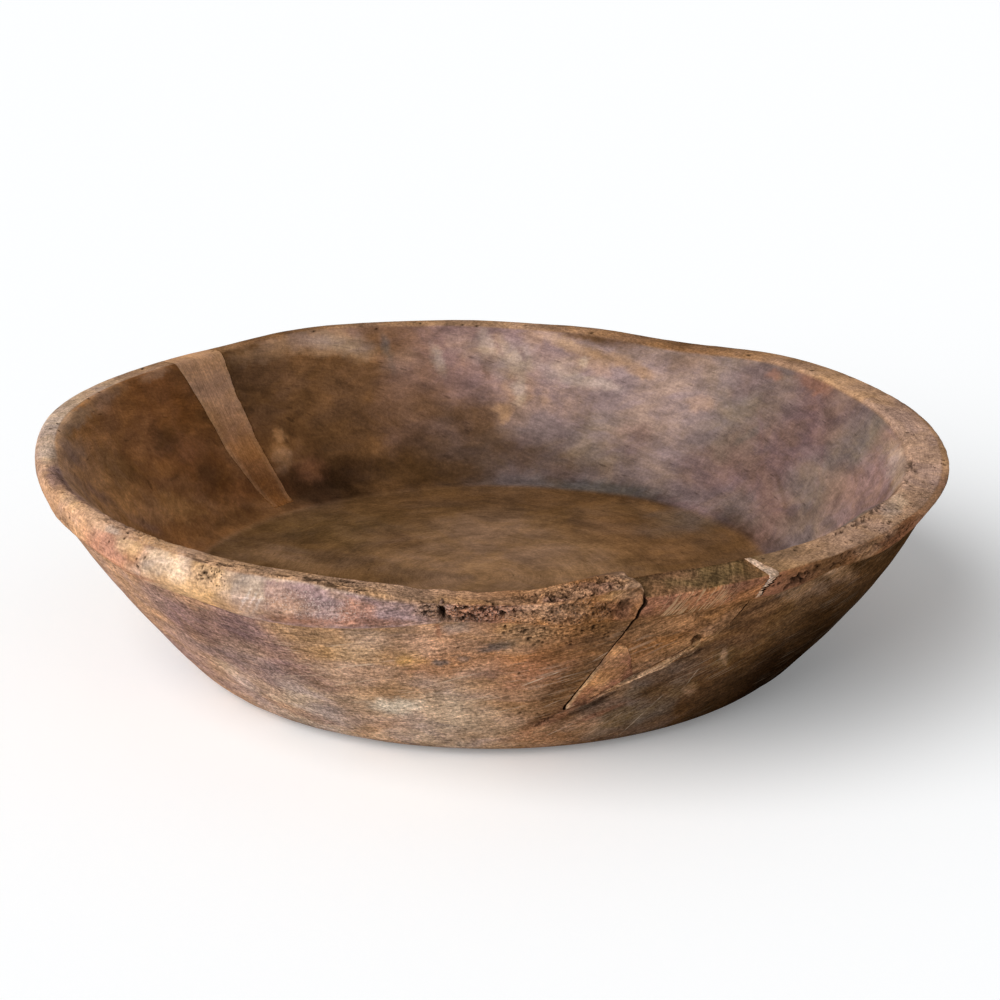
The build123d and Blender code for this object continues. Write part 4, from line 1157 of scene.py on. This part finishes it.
def bowl_paint(place):
    """Colour of each point of the carved block."""
    points = place.points
    angle = place.angle + TONE_WAVER * rough_noise(points, 30.0, 3, 41)
    height = place.height + TONE_LIFT * rough_noise(points, (40.0, 40.0, 16.0), 3, 42)
    colours, inner = ring_tone(angle, WALL_LOW), ring_tone(angle, INNER_LOW)
    cover(colours, ring_tone(angle, WALL_HIGH), ease(height, *WALL_FADE))
    cover(inner, ring_tone(angle, INNER_HIGH), ease(height, *INNER_FADE))
    for weight, tone in (
        (place.band, ring_tone(angle, BAND_TONES)),
        (place.inner, inner),
        (place.top, ring_tone(angle, TOP_TONES)),
        (place.floor, np.array(PALETTE["walnut"])),
        (place.foot, np.array(PALETTE["tan"])),
    ):
        cover(colours, tone, weight)
    for side, rows in STAINS:
        for at, height, half_along, half_up, tilt, name, strength, soft in rows:
            near, weight = spot(place, side, at, height, half_along, half_up, tilt, soft)
            tint(colours, name, strength * weight, near)
    return colours


def fine_marks(place, hole_shade):
    """Shares of painted shade in holes, scratches, pale specks with painted glints, and pores at each point.
    """
    marks = np.zeros((len(place.points), 4), np.float32)
    marks[:, 0] = hole_shade
    marks[:, 1] = PLAIN_SCRATCHED * place.wall
    marks[:, 3] = sum(share * place.side(side) for side, share in PLAIN_PORES.items())
    for column, table in ((1, SCRATCHED), (2, SPECKS_AND_GLINTS), (3, POROUS)):
        for side, angle, height, half_along, half_up, strength in table:
            near, weight = spot(place, side, angle, height, half_along, half_up)
            marks[near, column] = np.maximum(marks[near, column], strength * weight)
    return marks


def scratch_lines(place):
    """Distance of each point from the nearest long scratch, to either side, and that scratch's strength."""
    lines = np.zeros((len(place.points), 3), np.float32)
    lines[:, 0] = 9.0
    for angle, height, half, tilt, strength in SCRATCHES:
        along, up = place.offsets("wall", angle, height)
        along, across = turned(along, up, tilt)
        across = across - 0.03 * half * (1.0 - (along / half) ** 2)
        inside = ease(np.abs(across), 2.4, 1.4) * ease(np.abs(along), half, 0.7 * half)
        weight = strength * inside * place.wall
        near = (weight > 0.0) & (np.abs(across) < np.abs(lines[:, 0]))
        lines[near, 0], lines[near, 1] = across[near], weight[near]
    return lines


def grain_rise(angles):
    """Height that the wall's grain has climbed along the surface, round the bowl."""
    step = 0.5
    fine = np.arange(0.0, 360.0, step)
    at, tilt = zip(*GRAIN_TILT)
    slope = np.tan(np.radians(np.interp(fine, at, tilt, period=360.0)))
    slope -= slope.mean()
    climbed = np.cumsum(slope) * math.radians(step) * GRAIN_RADIUS
    return np.interp(angles, fine, climbed, period=360.0)


def grain_space(place):
    """Place of each point in a space squeezed round the bowl, so that noise makes streaks along the grain."""
    x, y, _ = place.points.T
    rise = place.climb - grain_rise(place.angle) * ease(place.climb, *TILT_FADES)
    return np.stack([GRAIN_SQUEEZE * x, GRAIN_SQUEEZE * y, rise], 1)


def corners_of(mesh):
    """Point of each corner of a mesh, and the first corner and number of corners of each face."""
    corner = np.empty(len(mesh.loops), np.int32)
    mesh.loops.foreach_get("vertex_index", corner)
    starts, sizes = np.empty((2, len(mesh.polygons)), np.int32)
    mesh.polygons.foreach_get("loop_start", starts)
    mesh.polygons.foreach_get("loop_total", sizes)
    return corner, starts, sizes


def cut_face_shade(piece):
    """1 for each face that lies inside the wall's thickness, where the wood was cut; these sides of cracks
    and seats get painted shade.
    """
    corner, starts, sizes = corners_of(piece.data)
    middles = np.add.reduceat(points_of(piece)[corner], starts, axis=0) / sizes[:, None]
    place = Place(middles)
    level = ease(place.near_rim, 1.5, 4.0) * ease(place.height, 1.0, 3.0)
    level *= ease(place.height, FLOOR_HEIGHT - 20.0, FLOOR_HEIGHT)
    return ease(place.depth, 0.12, 0.3) * ease(place.depth, 0.88, 0.7) * level * (1.0 - place.rounding)


def store_all(piece, colours, marks, grain, detail=1.0, cut_shade=1.0):
    """Writes what the materials read. The paint's fourth value is the strength of fine detail."""
    detail = np.broadcast_to(detail, len(colours))[:, None]
    store(piece, "paint", "FLOAT_COLOR", np.concatenate([colours, detail], 1))
    store(piece, "marks", "FLOAT_COLOR", marks)
    store(piece, "grain", "FLOAT_VECTOR", grain)
    store(piece, "cut_shade", "FLOAT", cut_shade * cut_face_shade(piece), "FACE")


# Materials


class Shader:
    """Adds and joins the nodes of one material."""

    def __init__(self, name, roughness=None, specular=0.4):
        self.material = bpy.data.materials.new(name)
        self.material.use_nodes = True
        self.tree = self.material.node_tree
        self.surface = self.tree.nodes["Principled BSDF"]
        self.surface.inputs["Specular IOR Level"].default_value = specular
        if roughness is not None:
            self.surface.inputs["Roughness"].default_value = roughness

    def fill(self, socket, value):
        """Fills one input, by link or by value."""
        if isinstance(value, bpy.types.NodeSocket):
            self.tree.links.new(value, socket)
        else:
            socket.default_value = value

    def set(self, node, **inputs):
        """Fills inputs of a node by their names."""
        for name, value in inputs.items():
            self.fill(node.inputs[name.replace("_", " ")], value)

    def math(self, operation, *values):
        node = self.tree.nodes.new("ShaderNodeMath")
        node.operation = operation
        for socket, value in zip(node.inputs, values):
            self.fill(socket, value)
        return node.outputs[0]

    def remap(self, value, low, high, new_low, new_high):
        node = self.tree.nodes.new("ShaderNodeMapRange")
        node.interpolation_type = "SMOOTHSTEP"
        self.set(node, Value=value, From_Min=low, From_Max=high, To_Min=new_low, To_Max=new_high)
        return node.outputs[0]

    def attribute(self, name):
        node = self.tree.nodes.new("ShaderNodeAttribute")
        node.attribute_name = name
        return node

    def noise(self, vector, scale, detail=3.0, roughness=0.55, distortion=0.0):
        node = self.tree.nodes.new("ShaderNodeTexNoise")
        self.set(node, Vector=vector, Scale=scale, Detail=detail, Roughness=roughness, Distortion=distortion)
        return node.outputs["Fac"]

    def cells(self, vector, scale):
        node = self.tree.nodes.new("ShaderNodeTexVoronoi")
        self.set(node, Vector=vector, Scale=scale)
        split = self.tree.nodes.new("ShaderNodeSeparateColor")
        self.tree.links.new(node.outputs["Color"], split.inputs[0])
        return node.outputs["Distance"], split.outputs[0]

    def dots(self, vector, scale, density, size, edge):
        """1 inside random round dots, more of them where the density is high."""
        distance, random = self.cells(vector, scale)
        wanted = self.math("MULTIPLY", self.math("ADD", random, self.math("SUBTRACT", density, 1.0)), size)
        return self.remap(self.math("SUBTRACT", wanted, distance), 0.0, edge, 0.0, 1.0)

    def stretch(self, vector, factors):
        node = self.tree.nodes.new("ShaderNodeVectorMath")
        node.operation = "MULTIPLY"
        self.fill(node.inputs[0], vector)
        self.fill(node.inputs[1], factors)
        return node.outputs[0]

    def times(self, colour, value):
        node = self.tree.nodes.new("ShaderNodeVectorMath")
        node.operation = "SCALE"
        self.set(node, Scale=value)
        self.fill(node.inputs[0], colour)
        return node.outputs[0]

    def mix(self, share, first, second, blend="MIX"):
        node = self.tree.nodes.new("ShaderNodeMix")
        node.data_type = "RGBA"
        node.blend_type = blend
        for index, value in ((0, share), (6, first), (7, second)):
            self.fill(node.inputs[index], value)
        return node.outputs[2]


MOTTLES = 0.36  # strength of the finest light and dark spots
# Near black for the wood's own pores and dashes, and for painted shade in holes, dents and crumb gaps
PORE_AND_HOLE_SHADE_COLOUR = (0.014, 0.007, 0.004, 1.0)
# Painted shade on the cut faces inside cracks and seats
CUT_FACE_SHADE_COLOUR = (0.030, 0.015, 0.008, 1.0)
SPECK_AND_GLINT_COLOUR = (0.62, 0.48, 0.42, 1.0)
SCRATCH_COLOUR = (0.60, 0.45, 0.32, 1.0)
SAW_COLOUR = (0.58, 0.38, 0.21, 1.0)
GOLDEN = (1.06, 1.01, 0.90, 1.0)
PURPLISH = (0.95, 0.95, 1.03, 1.0)


def wood(name, blotches=0.26, streaks=0.12, fibres=0.3, dashes=0.34, relief=0.9, saw=0.0, lines=0.0):
    """Old wood: painted tone, blotches, mottles, streaks and fibres, pores, holes with painted shade, specks
    with painted glints, scratches, and painted shade on cut faces.
    """
    shader = Shader(name, specular=0.0)
    nodes = shader.tree.nodes
    place = nodes.new("ShaderNodeTexCoord").outputs["Object"]
    grain = shader.attribute("grain").outputs["Vector"]
    marks = shader.attribute("marks")
    split = nodes.new("ShaderNodeSeparateColor")
    shader.tree.links.new(marks.outputs["Color"], split.inputs[0])
    hole, scratched, specks_glints_and_saw = split.outputs
    porous = marks.outputs["Alpha"]

    lying = shader.stretch(place, (1.0, 1.0, 2.0))
    blotch = shader.noise(lying, 60.0, 6.0, 0.62, 0.5)
    hue = shader.noise(lying, 32.0, 4.0, 0.6, 0.4)
    streak = shader.noise(grain, 0.20, 6.0, 0.6)
    mottle = shader.noise(place, 560.0, 5.0, 0.7, 0.3)
    fibre = shader.noise(grain, 1.3, 3.0, 0.65)
    crumb = shader.noise(place, 800.0, 3.0, 0.65)
    paint = shader.attribute("paint")
    colour, detail = paint.outputs["Color"], paint.outputs["Alpha"]
    for texture, amount in ((blotch, blotches), (streak, streaks)):
        colour = shader.times(colour, shader.remap(texture, 0.30, 0.70, 1.0 - amount, 1.0 + amount))
    for texture, amount in ((fibre, fibres), (mottle, MOTTLES)):
        fine = shader.math("MULTIPLY", shader.remap(texture, 0.32, 0.68, -amount, amount), detail)
        colour = shader.times(colour, shader.math("ADD", fine, 1.0))
    grainy = shader.math("MULTIPLY", shader.math("MULTIPLY_ADD", porous, 0.4, 0.26), detail)
    # Fine lighter and darker crumbs, lighter where the bump from the same noise rises: partly painted
    # highlight on the crumbs' tops and painted shade in their lows
    crumb_highlight_and_shade = shader.math("MULTIPLY_ADD", shader.remap(crumb, 0.32, 0.68, -1.0, 1.0), grainy, 1.0)
    colour = shader.times(colour, crumb_highlight_and_shade)
    tinge = shader.mix(shader.remap(hue, 0.36, 0.64, 0.0, 1.0), GOLDEN, PURPLISH)
    colour = shader.mix(1.0, colour, tinge, "MULTIPLY")

    dash = shader.dots(grain, 0.55, 0.55, 0.5, 0.12)
    colour = shader.mix(shader.math("MULTIPLY", dash, dashes), colour, PORE_AND_HOLE_SHADE_COLOUR)
    pore = shader.dots(place, 900.0, porous, 0.70, 0.14)
    colour = shader.mix(shader.math("MULTIPLY", pore, 0.7), colour, PORE_AND_HOLE_SHADE_COLOUR)
    if not saw:
        # Pale specks, partly painted glints of sheen and painted highlights on crumb ridges
        speck_and_glint = shader.remap(shader.noise(place, 1500.0, 2.0, 0.6), 0.52, 0.68, 0.0, 0.75)
        colour = shader.mix(shader.math("MULTIPLY", speck_and_glint, specks_glints_and_saw), colour, SPECK_AND_GLINT_COLOUR)

    long = shader.stretch(grain, (0.3, 0.3, 1.0))
    line = shader.remap(shader.noise(long, 1.25, 1.0, 0.5), 0.59, 0.65, 0.0, 1.0)
    line = shader.math("MULTIPLY", line, shader.remap(shader.noise(place, 30.0, 2.0), 0.46, 0.56, 0.0, 1.0))
    line = shader.math("MULTIPLY", line, scratched)
    colour = shader.mix(shader.math("MULTIPLY", line, 0.5), colour, SCRATCH_COLOUR)
    if lines:
        apart = nodes.new("ShaderNodeSeparateXYZ")
        shader.tree.links.new(shader.attribute("line").outputs["Vector"], apart.inputs[0])
        line = shader.remap(shader.math("ABSOLUTE", apart.outputs[0]), 0.15, 0.5, lines, 0.0)
        broken = shader.remap(shader.noise(place, 140.0, 2.0), 0.38, 0.56, 0.25, 1.0)
        line = shader.math("MULTIPLY", line, broken)
        colour = shader.mix(shader.math("MULTIPLY", line, apart.outputs[1]), colour, SCRATCH_COLOUR)
    if saw:
        cut_line = shader.noise(shader.attribute("saw").outputs["Vector"], 1.0, 1.0, 0.5)
        cut_line = shader.math("MULTIPLY", shader.remap(cut_line, 0.52, 0.62, 0.0, saw), specks_glints_and_saw)
        colour = shader.mix(cut_line, colour, SAW_COLOUR)
    # Painted shade in holes, dents and crumb gaps
    colour = shader.mix(shader.math("MULTIPLY", hole, 0.92), colour, PORE_AND_HOLE_SHADE_COLOUR)
    # Painted shade on the cut faces inside cracks and seats
    colour = shader.mix(shader.attribute("cut_shade").outputs["Fac"], colour, CUT_FACE_SHADE_COLOUR)
    shader.set(shader.surface, Base_Color=colour, Roughness=shader.remap(blotch, 0.3, 0.7, 0.62, 0.8))

    height = shader.math("MULTIPLY", crumb, shader.math("MULTIPLY", grainy, 4.0))
    height = shader.math("MULTIPLY_ADD", fibre, 0.35, height)
    height = shader.math("MULTIPLY_ADD", pore, -0.9, height)
    height = shader.math("MULTIPLY_ADD", dash, -0.2, height)
    bump = nodes.new("ShaderNodeBump")
    shader.set(bump, Height=height, Distance=0.0006, Strength=relief)
    shader.set(shader.surface, Normal=bump.outputs["Normal"])
    return shader.material


SHARP_ANGLE = 40.0  # degrees between faces from which an edge shows


def finish_piece(piece, node, material):
    """Gives a piece its material and smooth shading, hangs it under the root body and hides the CAD part that
    it stands for.
    """
    piece.data.materials.clear()
    piece.data.materials.append(material)
    piece.data.shade_smooth()
    piece.data.set_sharp_from_angle(angle=math.radians(SHARP_ANGLE))
    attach(piece, "root")
    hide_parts(node)


# Flat layout of the body for baked textures, in millimetres on a square sheet
SHEET = 690.0
# Half rings: way up from the foot, from and to, and place on the sheet
RINGS = (
    (126.7, 254.0, 2.0), (254.0, 273.1, 464.0), (273.1, 367.1, 266.0),
)
DISC_SCALE = 0.66
SHEET_EDGE = 5.0
RING_GAP = 4.0
CUT_SCALE = (0.7, 1.6)  # sheet width for each degree, and height for each millimetre
FOOT_DISC, FLOOR_DISC = (95.0, 598.0), (290.0, 598.0)
CUT_CORNER = (400.0, 515.0)


def bake_map(piece, place):
    """Lays the body flat: wall, rim and hollow as half rings, foot and floor as discs, sawn faces apart."""
    mesh = piece.data
    corner, starts, sizes = corners_of(mesh)
    first = np.repeat(place.angle[corner[starts]], sizes)
    angle = first + turn_between(place.angle[corner], first)
    climb = place.climb[corner]
    middle = np.repeat(np.add.reduceat(climb, starts) / sizes, sizes)
    half = np.repeat(np.add.reduceat(angle, starts) / sizes, sizes) % 360.0 >= 180.0
    angle = angle + 360.0 * (half & (angle < 90.0)) - 360.0 * (~half & (angle > 270.0))
    x, y, z = place.points[corner].T
    disc = np.where(middle[:, None] > RINGS[-1][1], FLOOR_DISC, FOOT_DISC)
    flat = disc + DISC_SCALE * np.stack([x, y], 1)
    for low, high, base in RINGS:
        here = (middle >= low) & (middle <= high)
        along = SHEET_EDGE + (angle - 180.0 * half) / 180.0 * (SHEET - 2.0 * SHEET_EDGE)
        flat[here] = np.stack([along, base + (high - low + RING_GAP) * half + climb - low], 1)[here]
    sawn = np.repeat(np.logical_or.reduceat(place.made_by_cut[corner], starts), sizes)
    flat[sawn] = (CUT_CORNER + CUT_SCALE * np.stack([angle, z], 1))[sawn]
    layer = mesh.uv_layers.new(name="OFBake")
    layer.data.foreach_set("uv", (flat / SHEET).astype(np.float32).ravel())


# Pieces


WORM_REACH = (14.0, 26.0)  # degrees from the worm-eaten middle over which the rim grows calm
HOLLOW_CALM, RIM_CALM = 0.65, 0.4  # how much weaker fine detail is there


def make_body(wall, cuts):
    """The carved block, with seats for the repairs."""
    body = wall
    for tool in cuts:
        rest = cut(body, tool, "DIFFERENCE", "bowl")
        if body is not wall:
            drop(body)
        body = rest
    place, hole_shade = place_of(body)
    calm = RIM_CALM * ease(np.abs(turn_between(place.angle, WORM_ANGLE)), *WORM_REACH)
    detail = 1.0 - HOLLOW_CALM * (place.inner + place.floor) - calm * (place.top + place.band)
    store_all(body, bowl_paint(place), fine_marks(place, hole_shade), grain_space(place), detail)
    store(body, "line", "FLOAT_VECTOR", scratch_lines(place))
    bake_map(body, place)
    finish_piece(body, "bowl_body", wood("bowl_wood", lines=0.85))


def flat_marks(hole_shade, pores):
    """Marks of a repair: holes and pores."""
    marks = np.zeros((len(hole_shade), 4), np.float32)
    marks[:, 0] = hole_shade
    marks[:, 3] = pores
    return marks


def blend(first, second, weight):
    """Colours between two of the palette."""
    first, second = np.array(PALETTE[first]), np.array(PALETTE[second])
    return first + (second - first) * np.clip(weight, 0.0, 1.0)[:, None]


def cut_frame(place, angle):
    """Across and height of each point, seen from outside at an angle."""
    turn = math.radians(angle)
    return place.points[:, 1] * math.cos(turn) - place.points[:, 0] * math.sin(turn), place.height


def make_patch(front, tool):
    """Piece of wood let into the front of the rim."""
    patch = cut(front, tool, "INTERSECT", "rim_patch")
    place, hole_shade = place_of(patch)
    points = place.points
    across, height = cut_frame(place, PATCH_ANGLE)
    patches = rough_noise(points, (26.0, 26.0, 9.0), 3, 51)
    colours = blend("umber", "orange", 0.5 + 0.7 * patches)
    seam_across, seam_height, _ = np.array(SEAM_LINE).T
    seam = ease(height - np.interp(across, seam_across, seam_height), 14.0, 2.0)
    tint(colours, "tan", 0.5 * seam * np.clip(0.7 + patches, 0, 1))
    band = blend("rust", "orange", 0.35 + 0.7 * rough_noise(points, 12.0, 3, 52))
    dim = ease(place.height, 89.0, 84.0)
    cover(colours, band, place.band * (1.0 - dim))
    top = blend("olive", "rust", 0.4 + 0.5 * rough_noise(points, 14.0, 3, 53))
    cover(colours, top, place.top)
    inner = blend("brown", "umber", 0.4 + 0.5 * patches)
    cover(colours, inner, place.inner)
    inner_edge = place.top * ease(place.depth, 0.2, 0.06)
    colours *= 1.0 - 0.5 * inner_edge[:, None]
    near, weight = spot(place, "wall", 291.0, 78.0, 16.0, 6.0, 10.0, 0.9)
    tint(colours, "amber", 0.45 * weight, near)
    marks = flat_marks(hole_shade, 0.25)
    marks[:, 1] = 0.5 * place.wall
    marks[:, 2] = place.band * ease(across, -6.0, 0.0) * ease(across, 32.0, 26.0)
    along, over = turned(across, height, PATCH_GRAIN)
    grain = np.stack([0.07 * along, over, 0.3 * place.depth], 1)
    store_all(patch, colours, marks, grain)
    _, over = turned(across, height, SAW_LEAN)
    saw = np.stack([-1.3 * over, 0.05 * (across + height), np.zeros_like(over)], 1)
    store(patch, "saw", "FLOAT_VECTOR", saw)
    material = wood("patch_wood", streaks=0.15, saw=0.6, relief=0.7)
    finish_piece(patch, "front_rim_patch", material)


def make_tongue(front, tool):
    """Lighter sliver of wood between the patch and the crack."""
    tongue = cut(front, tool, "INTERSECT", "tongue")
    place, hole_shade = place_of(tongue)
    across, height = cut_frame(place, PATCH_ANGLE)
    crack_across, crack_height, _ = np.array(CRACK_LINE[::-1]).T
    left = across - np.interp(height, crack_height, crack_across)
    # Pale along the crack's edge below about 66 mm, a painted highlight on that edge, and pale at the
    # tongue's lower tip
    pale = ease(left, 2.6, 0.6) * ease(height, 66.0, 50.0) + ease(height, 36.0, 31.0)
    colours = blend("rust", "amber", 0.4 + 0.8 * rough_noise(place.points, (6.0, 6.0, 14.0), 3, 55))
    # Darker away from the crack, on the side against the patch: painted shade along that joint
    colours *= 1.0 - 0.55 * ease(left, 15.0, 21.0)[:, None]
    tint(colours, "cream", np.clip(0.8 * pale, 0, 1))
    along, over = turned(across, height, TONGUE_GRAIN)
    store_all(tongue, colours, flat_marks(hole_shade, 0.15), np.stack([0.12 * along, over, 0.3 * place.depth], 1))
    finish_piece(tongue, "front_tongue", wood("tongue_wood", streaks=0.15))


def make_filler(front, tool):
    """Frayed bead of fibre and glue along the lower side of the patch."""
    filler = cut(front, tool, "INTERSECT", "seam_filler")
    points = points_of(filler)
    place, hole_shade = place_of(filler)
    across, height = cut_frame(place, PATCH_ANGLE)
    along, over = turned(across, height, FILLER_GRAIN)
    flat = np.zeros_like(along)
    lines = rough_noise(np.stack([along, over * 7.0, flat], 1), 7.0, 3, 61)
    turn = np.radians(place.angle)
    out = np.stack([np.cos(turn), np.sin(turn), np.zeros_like(turn)], 1)
    points += out * ((0.8 + 0.9 * lines) * ease(place.depth, 0.7, 0.9) * ease(across, 24.0, 20.0))[:, None]
    set_points(filler, points)
    colours = blend("brown", "cream", 0.4 + 0.9 * lines)
    for start, end, name in ((-10.0, -20.0, "rust"), (22.0, 24.0, "brown")):
        tint(colours, name, 0.8 * ease(across, start, end))
    # Less painted shade on the filler's cut sides
    store_all(filler, colours, flat_marks(hole_shade, 0.3), np.stack([0.08 * along, over, flat], 1), cut_shade=0.3)
    material = wood("filler", streaks=0.3, fibres=0.45, dashes=0.6)
    finish_piece(filler, "front_seam_filler", material)


def make_putty(front, tool):
    """Pale putty that closes the right end of the patch over the rim."""
    putty = cut(front, tool, "INTERSECT", "rim_putty")
    points = points_of(putty)
    place, hole_shade = place_of(putty)
    lumps = rough_noise(points, 3.5, 3, 63)
    turn = np.radians(place.angle)
    out = np.stack([0.6 * np.cos(turn), 0.6 * np.sin(turn), 0.8 * place.top], 1)
    points += out * ((0.25 + 0.3 * lumps) * np.clip(place.top + place.band, 0, 1))[:, None]
    set_points(putty, points)
    colours = blend("peach", "pale", 0.6 + 0.6 * lumps)
    below = ease(place.height, 88.0, 84.0)
    tint(colours, "brown", 0.9 * below)
    store_all(putty, colours, flat_marks(hole_shade, 0.3), points * 0.6)
    material = wood("putty", blotches=0.15, streaks=0.1, dashes=0.1, relief=0.6)
    finish_piece(putty, "rim_seam_putty", material)


def make_wedge(rear, tool):
    """Rear wedge of lighter wood and the dark glue round it."""
    wedge = cut(rear, tool, "INTERSECT", "wedge")
    place, hole_shade = place_of(wedge)
    across, height = cut_frame(place, WEDGE_ANGLE)
    cloud = rough_noise(place.points, (10.0, 10.0, 22.0), 3, 71)
    colours = blend("russet", "orange", ease(height, 34.0, 60.0) + 0.25 * cloud)
    tint(colours, "peach", 0.9 * ease(height, 46.0, 88.0))
    low_edge, high_edge = [np.interp(height, *np.array(line).T[::-1]) for line in (WEDGE_RIGHT, WEDGE_LEFT)]
    # Paler along both sides of the wedge, partly a painted highlight on its edges
    edge = ease(np.minimum(across - low_edge, high_edge - across), 4.0, 1.0)
    tint(colours, "cream", 0.15 * edge)
    grain = np.stack([across, 0.06 * height, 0.3 * place.depth], 1)
    store_all(wedge, colours, flat_marks(hole_shade, 0.1), grain, detail=0.4)
    finish_piece(wedge, "rear_wedge", wood("wedge_wood", blotches=0.2, dashes=0.1))
    glue = cut(rear, tool, "DIFFERENCE", "wedge_glue")
    place, hole_shade = place_of(glue)
    colours = blend("bark", "russet", 0.4 + 0.6 * rough_noise(place.points, 8.0, 2, 73))
    store_all(glue, colours, flat_marks(hole_shade, 0.1), place.points * 0.5)
    finish_piece(glue, "rear_wedge_glue", wood("glue", dashes=0.1))


def make_bowl():
    """All pieces of the bowl."""
    wall = make_wall()
    tools = {name: cutter("cut_" + name, PATCH_ANGLE, outline) for name, outline in front_outlines().items()}
    tools["wedge"] = cutter("cut_wedge", WEDGE_ANGLE, wedge_outline(0.0))
    tools["glue"] = cutter("cut_glue", WEDGE_ANGLE, wedge_outline(WEDGE_GLUE))
    front = cut(wall, tools["seat"], "INTERSECT", "front")
    rear = cut(wall, tools["glue"], "INTERSECT", "rear")
    make_patch(front, tools["patch"])
    make_tongue(front, tools["tongue"])
    make_filler(front, tools["filler"])
    make_putty(front, tools["putty"])
    make_wedge(rear, tools["wedge"])
    make_body(wall, (tools["seat"], tools["glue"]))
    drop(wall, front, rear, *tools.values())


# Camera, light and floor


def make_camera():
    """Camera in front of the bowl, a little above it."""
    data = bpy.data.cameras.new("camera")
    data.sensor_fit = "HORIZONTAL"
    data.angle = math.radians(CAMERA_VIEW)
    camera = bpy.data.objects.new("camera", data)
    bpy.context.scene.collection.objects.link(camera)
    rise = math.radians(CAMERA_RISE)
    away = Vector((0.0, -math.cos(rise), math.sin(rise))) * CAMERA_AWAY
    camera.location = (Vector(CAMERA_TARGET) + away) * MM
    camera.rotation_euler = (math.pi / 2 - rise, 0.0, 0.0)
    bpy.context.scene.camera = camera


def seen_rays(tree):
    """1 for rays that show in the picture, straight or by reflection, else 0."""
    path = tree.nodes.new("ShaderNodeLightPath")
    seen = path.outputs["Is Camera Ray"]
    for name in ("Is Glossy Ray", "Is Transmission Ray"):
        node = tree.nodes.new("ShaderNodeMath")
        node.operation = "MAXIMUM"
        tree.links.new(seen, node.inputs[0])
        tree.links.new(path.outputs[name], node.inputs[1])
        seen = node.outputs[0]
    return seen


def make_light():
    """Large soft key light from the left front, and a plain white room."""
    data = bpy.data.lights.new("key", "SUN")
    data.energy = KEY_STRENGTH
    data.angle = math.radians(KEY_SOFT)
    key = bpy.data.objects.new("key", data)
    bpy.context.scene.collection.objects.link(key)
    turn, rise = math.radians(KEY_ANGLE), math.radians(KEY_RISE)
    towards = Vector((math.cos(rise) * math.cos(turn), math.cos(rise) * math.sin(turn), math.sin(rise)))
    key.rotation_euler = towards.to_track_quat("Z", "Y").to_euler()
    world = bpy.data.worlds.new("room")
    bpy.context.scene.world = world
    world.use_nodes = True
    room = world.node_tree.nodes["Background"]
    room.inputs["Color"].default_value = (1.0, 1.0, 1.0, 1.0)
    strength = world.node_tree.nodes.new("ShaderNodeMapRange")
    strength.inputs["To Min"].default_value = ROOM_STRENGTH
    world.node_tree.links.new(seen_rays(world.node_tree), strength.inputs["Value"])
    world.node_tree.links.new(strength.outputs["Result"], room.inputs["Strength"])


def make_floor():
    """Pale floor that keeps the bowl's shadow."""
    mesh = bpy.data.meshes.new("floor")
    corners = [(x * FLOOR_REACH, y * FLOOR_REACH, 0.0) for x, y in ((-1, -1), (1, -1), (1, 1), (-1, 1))]
    mesh.from_pydata(corners, [], [(0, 1, 2, 3)])
    floor = bpy.data.objects.new("floor", mesh)
    bpy.context.scene.collection.objects.link(floor)
    shader = Shader("floor_pale", roughness=1.0, specular=0.0)
    seen = seen_rays(shader.tree)
    shader.set(shader.surface, Base_Color=shader.mix(seen, FLOOR_COLOUR, FLOOR_SHOWN))
    lift = shader.math("MULTIPLY", seen, FLOOR_LIFT)
    shader.set(shader.surface, Emission_Color=(1.0, 1.0, 1.0, 1.0), Emission_Strength=lift)
    mesh.materials.append(shader.material)


make_bowl()
make_camera()
make_light()
make_floor()
bpy.context.scene.view_settings.view_transform = "Standard"
